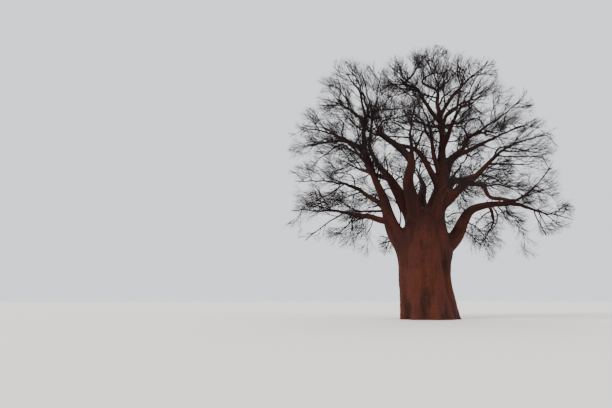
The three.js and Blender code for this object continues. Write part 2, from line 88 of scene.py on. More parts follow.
# Waves round the trunk, furrows down it and toes at its foot. Depths are shares of its radius, bearings
# and spreads are in degrees, and twist is in degrees to a metre of height
TRUNK_BULGES = [
    dict(count=2, depth=0.02, turn=20, twist=6),
    dict(count=5, depth=0.02, turn=70, twist=-5),
]
TRUNK_FURROWS = [
    dict(foot=-35, top=-66, depth=0.11, spread=9),
    dict(foot=-98, top=-104, depth=0.05, spread=8),
    dict(foot=-150, top=-138, depth=0.08, spread=10),
    dict(foot=158, top=170, depth=0.07, spread=9),
    dict(foot=112, top=100, depth=0.11, spread=10),
    dict(foot=62, top=70, depth=0.06, spread=8),
    dict(foot=14, top=4, depth=0.07, spread=9),
]
FURROW_FADE = dict(start=0.62, by=0.75)  # the share of the height where furrows fade, and how much
ROOT_TOES = dict(count=9, depth=0.04, height=0.9, turn=-6)

# Limbs: where each leaves its parent, the knees it bends through, and its radii at root and tip
FLARE = 1.25  # one gives an even taper, and more a faster one near the root
CROOK = 0.016  # how far a limb wanders to the side, as a share of its length
SWAYS = dict(aside=9, above=10, start=6)  # radians of wander along the limb, and the most it starts with
LONGEST_STEP = 0.85
FEWEST_STEPS = 3
FINE_BITS = 5  # fine pieces of a limb to each long one
CURVE_SAMPLES = 201
LIMBS = [
    dict(name="centre_limb", on="trunk", root=(0.35, 0, 6.7), radii=(0.95, 0.2), flare=1.7,
         knees=[(0.9, 0, 8.4), (1.16, 0, 9.7), (1.36, 0, 11.2), (1.5, 0, 13.0)],
         tip=(1.41, 0, 14.7), fullness=0.8),
    dict(name="left_limb", on="trunk", root=(-0.6, 0, 4.3), radii=(1.1, 0.22), flare=2.2,
         knees=[(-2.05, -0.1, 6.1), (-2.95, -0.3, 7.6), (-3.4, -0.5, 9.2), (-3.85, -0.8, 10.6)],
         tip=(-4.45, -1.1, 11.9), fullness=0.8),
    dict(name="right_low_limb", on="trunk", root=(0.5, 0, 4.5), radii=(0.8, 0.19), flare=1.5,
         knees=[(2.1, 0, 6.05), (2.85, 0, 7.1), (3.55, 0, 8.0), (4.6, -0.2, 8.4)],
         tip=(5.8, -0.6, 8.4), fullness=0.4),
    dict(name="inner_left_limb", on="trunk", root=(-0.35, 0.3, 6.4), radii=(0.85, 0.2), flare=1.3,
         knees=[(-1.2, 0.45, 8.1), (-1.75, 0.6, 9.4), (-2.5, 1.0, 10.6)], tip=(-3.3, 1.5, 11.8)),
    dict(name="front_centre_bough", on="trunk", root=(-0.5, -0.35, 6.5), radii=(0.68, 0.17),
         flare=0.9, knees=[(-1.1, -0.75, 8.3), (-1.4, -1.3, 9.5), (-1.4, -2.1, 10.6)],
         tip=(-1.5, -3.2, 11.6)),
    dict(name="right_middle_bough", on="centre_limb", share=0.17, radii=(0.46, 0.14),
         knees=[(2.8, -0.6, 9.7), (3.75, -1.0, 10.6)], tip=(4.8, -1.3, 11.6), fullness=0.4),
    dict(name="right_wavy_bough", on="right_middle_bough", share=0.55, radii=(0.19, 0.12),
         knees=[(3.85, -1.5, 9.6), (4.15, -2.0, 8.75)], tip=(5.2, -2.9, 8.3)),
    dict(name="back_right_bough", on="centre_limb", share=0.3, radii=(0.42, 0.14),
         knees=[(2.3, 1.2, 10.2), (3.6, 2.6, 10.9)], tip=(4.7, 4.0, 11.45)),
    dict(name="right_upper_bough", on="centre_limb", share=0.36, radii=(0.34, 0.12),
         knees=[(2.1, 0.45, 11.6), (3.8, 1.0, 12.95)], tip=(5.6, 1.6, 13.85), fullness=0.3),
    dict(name="arching_bough", on="centre_limb", share=0.35, radii=(0.3, 0.13),
         knees=[(0.3, -0.2, 11.3), (-0.75, -0.6, 12.5)], tip=(-2.2, -1.1, 12.8)),
    dict(name="centre_left_bough", on="centre_limb", share=0.44, radii=(0.24, 0.13),
         knees=[(0.75, -0.4, 11.8)], tip=(0.5, -0.7, 13.3)),
    dict(name="right_inner_bough", on="centre_limb", share=0.6, radii=(0.2, 0.12),
         knees=[(2.6, -0.8, 12.4), (2.9, -1.7, 13.0)], tip=(3.2, -2.5, 13.15), fullness=0.3),
    dict(name="back_top_bough", on="centre_limb", share=0.7, radii=(0.22, 0.12),
         knees=[(2.0, 1.6, 14.0)], tip=(2.7, 3.1, 14.9)),
    dict(name="front_right_bough", on="centre_limb", share=0.74, radii=(0.22, 0.12),
         knees=[(1.75, -1.6, 13.9)], tip=(1.75, -3.0, 14.3)),
    dict(name="right_crest_bough", on="centre_limb", share=0.96, radii=(0.16, 0.11),
         knees=[(2.1, 0.5, 15.7)], tip=(2.9, 1.0, 16.35), fullness=0.3),
    dict(name="top_left_bough", on="centre_limb", share=1, radii=(0.19, 0.13),
         knees=[(0.55, -0.3, 15.7)], tip=(-0.1, -0.7, 16.5), fullness=0.3),
    dict(name="top_bough", on="centre_limb", share=1, radii=(0.19, 0.13),
         knees=[(1.25, 0.2, 16.1)], tip=(1.35, 0.4, 17.2)),
    dict(name="top_right_bough", on="top_bough", share=0.2, radii=(0.16, 0.12),
         knees=[(2.0, -0.3, 16.4)], tip=(2.7, -0.65, 17.2), fullness=0.3),
    dict(name="back_bough", on="trunk", root=(0.0, 0.6, 6.6), radii=(0.6, 0.15),
         knees=[(0.1, 1.5, 8.6), (0.4, 2.8, 10.3)], tip=(0.55, 4.4, 11.4), fullness=0.6),
    dict(name="back_left_bough", on="inner_left_limb", share=0.42, radii=(0.34, 0.14),
         knees=[(-2.3, 2.1, 10.6), (-3.1, 3.3, 11.4)], tip=(-3.9, 4.4, 11.9), fullness=0.5),
    dict(name="back_low_bough", on="trunk", root=(0.4, 0.7, 5.0), radii=(0.6, 0.14),
         knees=[(0.9, 2.4, 6.7), (1.2, 3.6, 7.6)], tip=(1.5, 4.8, 8.05)),
    dict(name="front_low_bough", on="trunk", root=(0.35, -0.4, 6.3), radii=(0.5, 0.14),
         knees=[(0.6, -1.5, 8.0), (0.75, -2.8, 8.9)], tip=(0.85, -4.0, 9.3), fullness=0.8),
    dict(name="front_left_bough", on="left_limb", share=0.62, radii=(0.24, 0.13),
         knees=[(-4.1, -1.9, 10.2)], tip=(-4.7, -3.2, 10.8)),
    dict(name="left_low_bough", on="left_limb", share=0.4, radii=(0.28, 0.15),
         knees=[(-4.5, -1.2, 7.35)], tip=(-5.7, -1.9, 7.45), fullness=0.5),
    dict(name="left_middle_bough", on="left_limb", share=0.5, radii=(0.22, 0.13),
         knees=[(-4.5, 0.8, 9.5)], tip=(-5.4, 1.45, 10.1), fullness=0.3),
    dict(name="left_outer_bough", on="left_limb", share=1, radii=(0.21, 0.13),
         knees=[(-5.1, -1.4, 12.5)], tip=(-5.8, -1.7, 12.85), fullness=1),
    dict(name="left_upper_bough", on="left_limb", share=1, radii=(0.2, 0.14),
         knees=[(-4.65, -1.0, 13.3)], tip=(-4.4, -0.8, 14.7), fullness=0.3),
    dict(name="left_crest_bough", on="left_upper_bough", share=0.8, radii=(0.15, 0.11),
         knees=[(-4.8, 0.1, 15.2)], tip=(-5.4, 0.8, 16.0), fullness=0.3),
    dict(name="left_crown_bough", on="inner_left_limb", share=1, radii=(0.19, 0.13),
         knees=[(-3.85, 1.7, 13.1)], tip=(-3.8, 1.6, 14.5)),
    dict(name="right_low_bough", on="right_low_limb", share=1, radii=(0.18, 0.13),
         knees=[(6.5, -0.85, 8.35)], tip=(7.1, -1.05, 8.1), fullness=0.3),
    dict(name="right_drooping_bough", on="right_low_limb", share=0.8, radii=(0.14, 0.11),
         knees=[(5.0, 0.3, 8.15)], tip=(5.2, 0.6, 7.65), fullness=0.8),
]

# Side boughs that the photograph shows between the sprays, as rods on the limbs and on one another
SIDE_BOUGHS = [
    dict(name="crown_top_side", on="top_left_bough", share=1, radii=(0.14, 0.04),
         knees=[(-0.56, -1.2, 17.04), (-1.59, -1.8, 17.3), (-1.19, -2.1, 17.7), (-0.61, -2.3, 18.47)],
         tip=(0.01, -2.5, 19.26), fullness=0.9),
    dict(name="crown_left_side", on="crown_top_side", share=0.36, radii=(0.07, 0.03),
         knees=[(-2.34, -2.4, 17), (-3.2, -3.2, 16.39)], tip=(-3.99, -3.9, 15.84), fullness=0.3),
    dict(name="crown_ridge_side", on="top_bough", share=0.65, radii=(0.13, 0.04),
         knees=[(1.32, 0.8, 17.61), (0.8, 1.28, 18.25), (0.52, 1.76, 18.8), (1.37, 2.34, 19.51),
                (2.34, 2.92, 19.92)],
         tip=(3.32, 3.5, 20.59), fullness=1.5),
    dict(name="crown_bridge_side", on="top_bough", share=0.87, radii=(0.08, 0.035),
         knees=[(0.46, -0.2, 16.83), (-0.45, -0.83, 16.71), (-1.31, -1.47, 16.54)],
         tip=(-2.1, -2.1, 16.86), fullness=0.6),
    dict(name="crown_right_side", on="top_bough", share=0.58, radii=(0.09, 0.05),
         knees=[(2.2, 1.6, 17.48), (2.78, 2.2, 18.17)], tip=(3.58, 2.8, 18.66)),
    dict(name="right_bending_side", on="centre_limb", share=0.97, radii=(0.12, 0.035),
         knees=[(2.2, 0.5, 14.76), (2.99, 1.12, 15.01), (3.78, 1.64, 15.51), (4.59, 2.16, 15.81),
                (5.25, 2.58, 15.7)],
         tip=(5.71, 3, 15.07), fullness=0.7),
    dict(name="right_fork_side", on="right_inner_bough", share=0.8, radii=(0.09, 0.04),
         knees=[(2.69, -2.1, 13.49), (2.27, -2.5, 13.7)], tip=(1.55, -3, 13.61)),
    dict(name="right_fork_upper_side", on="right_fork_side", share=0.38, radii=(0.06, 0.03),
         knees=[(2.68, -2.6, 13.96)], tip=(2.97, -3.4, 14.09)),
    dict(name="right_inner_side", on="right_inner_bough", share=1, radii=(0.1, 0.04),
         knees=[(3.89, -2.7, 13.26)], tip=(4.47, -3.6, 12.94), fullness=1.3),
    dict(name="right_dipping_side", on="right_upper_bough", share=0.6, radii=(0.06, 0.03),
         knees=[(3.76, 0.8, 12.35), (4.42, 1.2, 12.67)], tip=(5.08, 1.6, 12.23), fullness=0.9),
    dict(name="right_level_side", on="right_middle_bough", share=0.91, radii=(0.09, 0.03),
         knees=[(5.05, -1.5, 11.18), (5.7, -1.97, 11.15), (6.42, -2.33, 10.92)],
         tip=(7.27, -2.7, 10.99), fullness=0.5),
    dict(name="right_sinking_side", on="right_middle_bough", share=0.74, radii=(0.08, 0.03),
         knees=[(4.47, -1.6, 10.22), (4.95, -2.2, 9.72)], tip=(5.56, -2.9, 9.28), fullness=0.8),
    dict(name="right_wavy_side", on="right_wavy_bough", share=0.36, radii=(0.07, 0.03),
         knees=[(4.59, -2.4, 9.46), (5.24, -3, 9.19)], tip=(5.93, -3.6, 8.87), fullness=1),
    dict(name="right_tip_side", on="right_middle_bough", share=1, radii=(0.08, 0.03),
         knees=[(5.47, -0.8, 12.48), (6.55, -0.07, 12.84), (7.6, 0.77, 12.85)],
         tip=(8.78, 1.6, 12.85), fullness=0.5),
    dict(name="right_hanging_side", on="right_low_limb", share=0.85, radii=(0.06, 0.025),
         knees=[(5.3, 0.0, 7.85), (5.45, 0.1, 7.45), (5.15, 0.2, 6.85)], tip=(4.8, 0.2, 6.3), fullness=0.5),
    dict(name="right_outer_hanging_side", on="right_low_limb", share=1, radii=(0.06, 0.025),
         knees=[(6.0, -0.5, 7.7), (6.5, -0.5, 7.35), (6.85, -0.4, 6.85)], tip=(7.3, -0.3, 6.4), fullness=1),
    dict(name="right_lower_hanging_side", on="right_low_limb", share=0.52, radii=(0.06, 0.025),
         knees=[(3.7, -0.4, 6.6), (4.1, -0.6, 6.1)], tip=(4.55, -0.8, 5.45), fullness=0.4),
    dict(name="right_lowest_hanging_side", on="right_low_limb", share=0.43, radii=(0.05, 0.025),
         knees=[(3.4, 0.2, 6.1), (3.9, 0.3, 5.65)], tip=(4.65, 0.3, 5.3), fullness=0.5),
    dict(name="right_crotch_side", on="trunk", root=(1.6, 0.2, 7.5), radii=(0.05, 0.02),
         knees=[(2.25, 0.1, 7.8)], tip=(3.05, 0.0, 7.85)),
    dict(name="left_rising_side", on="left_outer_bough", share=0.91, radii=(0.08, 0.03),
         knees=[(-6.32, -2.1, 13.29), (-6.26, -2.7, 13.93)], tip=(-6.73, -3.3, 14.26)),
    dict(name="left_upper_side", on="left_upper_bough", share=1, radii=(0.12, 0.035),
         knees=[(-4.83, -1.6, 16.27), (-5.48, -2.4, 17.05)], tip=(-5.97, -3.2, 17.46), fullness=0.3),
    dict(name="left_crest_side", on="left_upper_bough", share=0.9, radii=(0.1, 0.03),
         knees=[(-5.27, -0.35, 15.5), (-6.32, 0.03, 16.58), (-6.25, 0.27, 17.78)],
         tip=(-6.55, 0.5, 18.69), fullness=0.4),
    dict(name="left_level_side", on="left_outer_bough", share=0.99, radii=(0.08, 0.03),
         knees=[(-6.54, -1.3, 13), (-7.28, -0.87, 13.04), (-8.03, -0.43, 12.93)],
         tip=(-9.16, 0, 12.96), fullness=0.5),
    dict(name="left_sinking_side", on="left_limb", share=1, radii=(0.1, 0.025),
         knees=[(-5.43, -0.3, 12.48), (-6.1, 0.38, 13.05), (-6.84, 1.05, 13.07), (-7.44, 1.72, 12.72)],
         tip=(-8.37, 2.4, 12), fullness=0.5),
    dict(name="left_climbing_side", on="left_middle_bough", share=0.99, radii=(0.09, 0.03),
         knees=[(-5.94, 1.5, 10.29), (-6.62, 1.73, 10.66), (-7.17, 1.97, 11.08)], tip=(-7.98, 2.2, 11.82)),
    dict(name="left_hooked_side", on="left_middle_bough", share=0.9, radii=(0.06, 0.025),
         knees=[(-5.27, 0.6, 10.59), (-5.92, -0.15, 10.75)], tip=(-6.83, -0.9, 10.71), fullness=0.3),
    dict(name="left_lower_side", on="left_middle_bough", share=0.71, radii=(0.06, 0.025),
         knees=[(-5.47, 1, 9.32), (-6.04, 1.45, 9.11)], tip=(-6.73, 1.9, 8.79), fullness=0.5),
    dict(name="left_twin_side", on="left_limb", share=0.5, radii=(0.1, 0.03),
         knees=[(-4.82, -0.8, 7.77), (-5.74, -1.43, 8.02), (-6.4, -2.07, 8.31)],
         tip=(-7.35, -2.6, 8.4), fullness=1.4),
    dict(name="left_hanging_side", on="left_low_bough", share=0.82, radii=(0.05, 0.02),
         knees=[(-5.55, -1.6, 6.9), (-5.6, -1.6, 6.5)], tip=(-5.5, -1.6, 5.9), fullness=0.4),
    dict(name="left_slanting_side", on="left_hanging_side", share=0.6, radii=(0.03, 0.018),
         knees=[(-6.2, -1.6, 6.2)], tip=(-6.85, -1.7, 5.9), fullness=0.4),
    dict(name="arch_side", on="arching_bough", share=0.99, radii=(0.13, 0.06),
         knees=[(-2.58, -1.4, 12.95), (-3.12, -1.83, 13.2), (-3.9, -2.17, 13.25)],
         tip=(-4.82, -2.4, 13.79), fullness=0.6),
    dict(name="arch_front_side", on="front_centre_bough", share=0.72, radii=(0.34, 0.13), flare=0.8,
         knees=[(-1.35, -2.3, 11.23), (-1.78, -2.2, 11.92), (-2.38, -2.0, 12.42), (-3.07, -1.8, 13.07)],
         tip=(-3.78, -1.7, 13.63)),
    dict(name="arch_upper_side", on="arch_side", share=0.45, radii=(0.08, 0.035),
         knees=[(-3.48, -1.8, 13.97), (-3.13, -2.37, 14.26), (-2.36, -2.93, 14.3)],
         tip=(-1.52, -3.5, 14.37), fullness=0.3),
    dict(name="left_crown_side", on="left_crown_bough", share=1, radii=(0.09, 0.03),
         knees=[(-3.67, 1.7, 15.34), (-3.32, 1.88, 16.22), (-2.15, 2.05, 16.54), (-1.16, 2.22, 16.67)],
         tip=(-0.32, 2.4, 17.06)),
    dict(name="centre_left_side", on="centre_limb", share=0.98, radii=(0.14, 0.04),
         knees=[(0.44, -0.7, 14.31), (-0.49, -1.42, 14.33), (-1.26, -2.15, 14.25), (-1.97, -2.78, 13.92)],
         tip=(-2.75, -3.4, 13.93), fullness=0.4),
    dict(name="centre_back_side", on="centre_limb", share=0.93, radii=(0.07, 0.03),
         knees=[(0.81, 0.9, 14.29), (0.33, 1.83, 14.62), (-0.48, 2.77, 15.01)],
         tip=(-1.32, 3.7, 15.45), fullness=1.2),
    dict(name="arch_rising_side", on="arching_bough", share=0.7, radii=(0.1, 0.06),
         knees=[(-0.58, -1, 12.89)], tip=(-0.26, -1.3, 13.77)),
    dict(name="centre_crooked_side", on="centre_left_bough", share=1, radii=(0.12, 0.04),
         knees=[(0.02, -1.1, 13.74), (-0.23, -1.67, 14.19), (-0.76, -2.23, 14.53)],
         tip=(-1.52, -2.8, 14.86)),
    dict(name="inner_side", on="trunk", root=(-0.2, -0.6, 8.25), radii=(0.06, 0.02),
         knees=[(-0.4, -0.7, 9.2)], tip=(-0.55, -0.8, 10.05), fullness=1.5),
    dict(name="crotch_side", on="trunk", root=(-1.9, 0.2, 6.75), radii=(0.06, 0.03),
         knees=[(-1.82, 0.4, 7.83), (-1.97, 0.7, 8.68)], tip=(-2.59, 1.1, 9.29), fullness=0.9),
    dict(name="inner_left_side", on="inner_left_limb", share=0.68, radii=(0.05, 0.025),
         knees=[(-1.9, 0.4, 10.6)], tip=(-1.75, 0.3, 11.3), fullness=0.3),
    dict(name="left_inner_hanging_side", on="left_low_bough", share=0.45, radii=(0.045, 0.02),
         knees=[(-4.15, -1.2, 6.75)], tip=(-4.6, -1.4, 6.0), fullness=0.8),
]

# Sprays: where each one's stem ends, and the half-width of the spindle of space that its twigs keep to
SPINDLE_MIDDLE = 0.48  # this and the next two are shares of the way from the stem's root to its end
SPINDLE_HALF_LENGTH = 0.58
STEM_END = 0.92
FIRST_PIECE = 0.6  # the first piece runs straight on from the bough, and is shorter than the rest
STEM_TURN = 0.5  # each later piece turns at least so far towards the end, as a share of the turn
STEM_TAPER = 1.7  # one gives an even taper, and more a faster one near the root
SPRAYS = [
    dict(name="left_outer_twigs", on="left_outer_bough", end=(-9.8, -3.0, 13.6), spread=2.1, fullness=0.4),
    dict(name="left_upper_twigs", on="left_upper_bough", end=(-5.9, -0.9, 19.4), spread=2.2, fullness=0.2),
    dict(name="left_crest_twigs", on="left_crest_bough", end=(-7.7, 2.4, 17.6), spread=1.6),
    dict(name="left_crown_twigs", on="left_crown_bough", end=(-2.7, 1.3, 19.9), spread=2.2, fullness=0.4),
    dict(name="left_middle_twigs", on="left_middle_bough", end=(-10.2, 3.4, 11.0), spread=1.9),
    dict(name="left_low_twigs", on="left_low_bough", end=(-10.3, -4.7, 7.4), spread=2.2),
    dict(name="left_drooping_twigs", on="trunk", root=(-1.7, 0.9, 6.0), radius=0.13,
         end=(-3.4, 1.9, 5.6), spread=1.2, fullness=1.3),
    dict(name="front_left_twigs", on="front_left_bough", end=(-7.4, -7.3, 12.2), spread=2.4),
    dict(name="front_centre_twigs", on="front_centre_bough", end=(-2.3, -7.9, 13.9), spread=2.4),
    dict(name="arching_twigs", on="arching_bough", end=(-4.5, -3.6, 15.2), spread=2.0),
    dict(name="centre_left_twigs", on="centre_left_bough", end=(-1.3, -2.6, 16.6), spread=2.0, fullness=0.2),
    dict(name="top_left_twigs", on="top_left_bough", end=(-3.0, -2.2, 18.8), spread=2.1, fullness=0.2),
    dict(name="top_twigs", on="top_bough", end=(0.4, 0.4, 20.7), spread=2.4, fullness=0.4),
    dict(name="top_right_twigs", on="top_right_bough", end=(4.9, -1.7, 19.2), spread=2.1),
    dict(name="right_crest_twigs", on="right_crest_bough", end=(6.0, 3.0, 17.7), spread=1.8, fullness=0.2),
    dict(name="front_right_twigs", on="front_right_bough", end=(2.3, -7.6, 16.0), spread=2.3, fullness=0.2),
    dict(name="right_inner_twigs", on="right_inner_bough", end=(5.4, -6.5, 14.4), spread=2.2),
    dict(name="right_upper_twigs", on="right_upper_bough", end=(10.4, 3.3, 16.3), spread=2.2),
    dict(name="right_middle_twigs", on="right_middle_bough", end=(9.2, -2.4, 13.4), spread=2.1),
    dict(name="right_wavy_twigs", on="right_wavy_bough", end=(7.6, -5.5, 10.3), spread=2.1, fullness=0.2),
    dict(name="right_low_twigs", on="right_low_bough", end=(10.1, -2.0, 7.1), spread=1.8, fullness=0.5),
    dict(name="right_drooping_twigs", on="right_drooping_bough", end=(4.4, 1.4, 5.5), spread=1.5,
         fullness=0.2),
    dict(name="front_low_twigs", on="front_low_bough", end=(1.3, -8.3, 10.6), spread=2.2, fullness=0.6),
    dict(name="back_left_twigs", on="back_left_bough", end=(-6.5, 7.5, 14.0), spread=2.5),
    dict(name="back_right_twigs", on="back_right_bough", end=(7.7, 7.1, 13.0), spread=2.5, fullness=0.5),
    dict(name="back_twigs", on="back_bough", end=(0.4, 8.9, 13.8), spread=2.5),
    dict(name="back_top_twigs", on="back_top_bough", end=(4.0, 6.9, 17.6), spread=2.4),
    dict(name="back_low_twigs", on="back_low_bough", end=(2.4, 8.7, 9.0), spread=2.3, fullness=0.8),
]

# What bears twigs, and how full each is. Fullness is the share that stays of its twigs, thinned alike on
# two levels of branching. Above one, it bears more branches, and short ones keep more of their twigs
TWIG_BEARERS = SPRAYS + LIMBS + SIDE_BOUGHS
SPRAY_FULLNESS = 0.3
BOUGH_FULLNESS = 0.2
THINNED_LEVELS = (2, 3)
FULLNESS = np.array([row.get("fullness", SPRAY_FULLNESS if k < len(SPRAYS) else BOUGH_FULLNESS)
                     for k, row in enumerate(TWIG_BEARERS)]) ** (1 / len(THINNED_LEVELS))

# How twigs branch: first the stem of a spray, then the branches it bears, and so on to the last twigs. A
# row of five starts with the branches. Radii are in metres, and angles in degrees
CROWN_HEART = np.array([0.0, 0.0, 10.0])
GROWTH = dict(
    pieces=(4, 3, 2, 2, 1, 1),  # straight pieces in one twig
    bears=(8, 8, 6, 5, 3),  # twigs on one bearer that has its full length
    full_length=(3.0, 2.2, 1.3, 0.7, 0.45),  # a bearer shorter than this has fewer
    angle=(58, 48, 42, 38, 34),  # between a twig and its bearer
    length=(0.58, 0.54, 0.58, 0.85, 0.85),  # as a share of the bearer's
    pull=(0.25, 0.45, 0.4, 0.4, 0.4, 0.3),  # how strongly it turns outwards from the crown's heart
    crook=(0.16, 0.26, 0.2, 0.14, 0.12, 0.1),  # how far each piece strays from the last one's direction
    slimness=(0.62, 0.6, 0.6, 0.65, 0.65),  # radius at the root, as a share of the bearer's there
    thickest=(0.13, 0.06, 0.033, 0.019, 0.012, 0.008),  # the most radius at the root
    thinnest=(0.03, 0.032, 0.019, 0.013, 0.009, 0.006),  # the least radius at the root
    thinning=(0.25, 0.5, 0.5, 0.5, 0.5, 0.5),  # radius at the tip, as a share of the root's
    angle_range=30,  # how far the angle varies by chance
    turn_range=50,  # how far the turn round the bearer does
    length_at_root=1.2,  # twigs are longer near the bearer's root
    length_at_tip=0.75,  # and shorter near its tip
    first_share=0.14,  # first place for a twig, as a share of the bearer's length
    last_share=0.98,  # last place for one
    shortest=0.45,  # one that is stopped before this share of its pieces is dropped
)
# Straight bits that each piece is broken into, how far those stray, and the sides of the rod round them
BENDS = dict(bits=(3, 2, 2, 1, 1, 1), stray=(0.12, 0.14, 0.14, 0.0, 0.0, 0.0), sides=(8, 6, 4, 3, 3, 3))
GOLDEN_SHARE = 0.618034
GOLDEN_ANGLE = 137.508
FREE_WAY = 0.003  # the least gap between a twig and a limb
SPILL = 1.05  # how far past its spindle's skin a spray's twigs may reach
CROWN_SPILL = 0.018  # how far past the solids' box the crown may reach, as a share of each side
CAD_LOW, CAD_HIGH = np.array(cad_box)
CROWN_LOW = CAD_LOW - CROWN_SPILL * (CAD_HIGH - CAD_LOW)
CROWN_HIGH = CAD_HIGH + CROWN_SPILL * (CAD_HIGH - CAD_LOW)
POINTS_AT_ONCE = 8000  # tested against all the limbs together, to spare memory

# Branches on the boughs themselves: one to so many metres, from this share of the bough's length on
BOUGH_BRANCHES = dict(level=1, spacing=0.7, from_trunk=0.5, from_bough=0.2, thickest_bearer=0.42,
                      lengths=(1.2, 3.0), first_seed=2000)
SIDE_BRANCHES = dict(level=2, spacing=0.28, from_trunk=0.15, from_bough=0.12, thickest_bearer=0.42,
                     lengths=(0.6, 1.5), first_seed=4000)

# Chance: a twig's seed follows from its bearer's, and each choice it makes is a draw of its own. The
# wave is so tall and steep that what lies behind its decimal point falls anywhere
SEEDS = dict(per_spray=37, per_bearer=31, per_twig=7, most=65521)
DRAWS = dict(sway_aside=1, sway_above=2, place=1, turn=1, angle=2, stray=(3, 4, 5), length=6, stays=8)
FIRST_BIT_DRAW = 10
WAVE = dict(per_seed=12.9898, per_draw=78.233, height=43758.5453)

# Skin of trunk and limbs
SKIN_VOXEL = 0.054
FIELD_MARGIN = 4 * SKIN_VOXEL  # how far past its melt a limb's field is worked out
MELT = 0.5  # how far a limb melts into what bears it, as a share of its own radius
SKIN_CUT = 5.6  # height where the trunk's skin ends and the boughs' skin starts
BELOW_GROUND = 0.4  # the raw skin runs on below the cut, so that the cut is clean
MELT_ROUNDS = 4
LONGEST_MELT = 0.3  # the furthest that a point of the skin moves in one round
SLOPE_STEP = 0.05
GRAIN_SHIFT = 7.3  # keeps the bark's pattern from running on from one limb to the next
LIMB_SIDES = 16

# Bark's relief. Sizes and spacings in metres, heights and depths as shares of the limb's radius there
RELIEF_SIZES = {
    "Fold size": 1.1, "Fold height": 0.2,
    "Flute spacing": 0.36, "Flute depth": 0.08,
    "Wrinkle spacing": 0.16, "Wrinkle depth": 0.03,
    "Knot spacing": 1.5, "Knot height": 0.05,
}
# Its waves: spacing, height, how much closer they stand across the grain, twice, and along it, and detail
RELIEF_WAVES = [
    ("Fold size", "Fold height", (1, 1, 0.4), 2.0),
    ("Flute spacing", "Flute depth", (1, 1, 0.16), 2.0),
    ("Wrinkle spacing", "Wrinkle depth", (0.3, 0.3, 1), 3.0),
]
NOISE_MIDDLE = 0.5
KNOT_REACH = 0.2  # from a knot's middle, as a share of the knots' spacing

# Bark's colours, as sRGB
BARK_BROWN = "461d0e"
BARK_MAUVE = "421b14"
BARK_PALE = "633420"
# Dark for the bark's own streaks, and also for painted shade in the hollows and the crotches
BARK_STREAK_AND_SHADE = "190a05"
BARK_HIGH = "220f0e"
BRANCH_BROWN = "1f1311"
# Layers over the brown: where each starts and where it is full, how much it covers there, and its colour
BARK_LAYERS = dict(
    patches=(0.42, 0.6, 1.0, BARK_MAUVE),
    mottle=(0.52, 0.78, 0.6, BARK_PALE),
    streaks=(0.5, 0.72, 0.55, BARK_STREAK_AND_SHADE),
    # Painted shade: darker where the relief sinks below the skin, between the folds
    painted_shade_in_hollows=(0.0, -0.035, 0.75, BARK_STREAK_AND_SHADE),  # by the relief, where it is below the skin
    # Painted shade: darker in the crotches, by the crease
    painted_shade_in_crotches=(0.0, 1.0, 0.55, BARK_STREAK_AND_SHADE),
    # Darker bark higher up the tree
    darker_above=(3.0, 13.0, 0.7, BARK_HIGH),  # by the height in metres
)
# Noise of each pattern. Its scale is how many fit in a metre, and stretched ones follow the grain
BARK_NOISES = dict(
    patches={"Scale": 0.5, "Detail": 3.0},  # 2000 mm
    mottle={"Scale": 5.0, "Detail": 6.0, "Roughness": 0.65},  # 200 mm, with finer ones down to 3 mm
    streaks={"Scale": 1.0, "Detail": 4.0},
    wrinkles={"Scale": 1.0, "Detail": 4.0},
    pores={"Scale": 50.0, "Detail": 2.0},  # 20 mm, coarser than real ones of about 2 mm, so that they show
)
BARK_STRETCHES = dict(
    streaks=(4.0, 4.0, 0.7),  # 250 mm wide and 1400 mm long
    wrinkles=(3.0, 3.0, 14.0),  # rings 70 mm apart that run 330 mm round the limb
)
PORE_SHARE = 0.25  # how strong the pores are beside the wrinkles
BARK_BUMP = {"Strength": 0.7, "Distance": 0.03}
BARK_ROUGHNESS = {"From Min": 0.3, "From Max": 0.7, "To Min": 0.78, "To Max": 0.92}  # by the mottle
TWIG_ROUGHNESS = 0.85
BARK_IOR = 1.45
BARK_GLOSS = 0.25  # half of a smooth surface's, as pores and dust swallow the rest

FINE_LEVEL = 2  # from this level on, the twigs are fine ones
# Fine twigs' tints, as sRGB. Each of the first four takes every fourth spray, and the last two take all
# that the limbs or the side boughs bear
TWIG_KINDS = [
    ("brown_twigs", range(0, len(SPRAYS), 4), "1f1210"),
    ("red_twigs", range(1, len(SPRAYS), 4), "241412"),
    ("grey_twigs", range(2, len(SPRAYS), 4), "211715"),
    ("dark_twigs", range(3, len(SPRAYS), 4), "1b100f"),
    ("bough_twigs", range(len(SPRAYS), len(SPRAYS + LIMBS)), "1d1210"),
    ("side_twigs", range(len(SPRAYS + LIMBS), len(TWIG_BEARERS)), "211412"),
]

# Stage: each lamp's compass direction, height above level, strength and softness, with angles in degrees
FLOOR_Z = -0.002
FLOOR_HALF_SIDE = 400
FLOOR_PALE = "d9d5cf"
FLOOR_ROUGHNESS = 0.95
BACKDROP_PALE = "e6e8ec"
BACKDROP_STRENGTH = 1.6
STUDIO_LAMPS = [
    ("key_lamp", -52, 38, 2.6, 12),
    ("fill_lamp", 48, 30, 0.6, 60),
    ("back_lamp", 170, 40, 1.2, 40),
]


def unit(v):
    """Vectors at length one."""
    return v / np.maximum(np.linalg.norm(v, axis=-1, keepdims=True), 1e-9)


def mix(a, b, t):
    """What lies at a share of the way from one value to another."""
    return a + (b - a) * t


def chance(seed, draw):
    """A number from 0 to 1 that depends only on a seed and a draw."""
    wave = np.sin(seed * WAVE["per_seed"] + draw * WAVE["per_draw"]) * WAVE["height"]
    return wave - np.floor(wave)


def stray(seeds, piece):
    """A small sideways turn for one piece of each twig."""
    draws = [draw + piece * len(DRAWS["stray"]) for draw in DRAWS["stray"]]
    return np.stack([chance(seeds, draw) - 0.5 for draw in draws], axis=-1)


def turned(v, axis, angle):
    """Vectors turned about axes of length one, in radians."""
    c, s = np.cos(angle)[..., None], np.sin(angle)[..., None]
    return v * c + np.cross(axis, v) * s + axis * (v * axis).sum(-1, keepdims=True) * (1 - c)


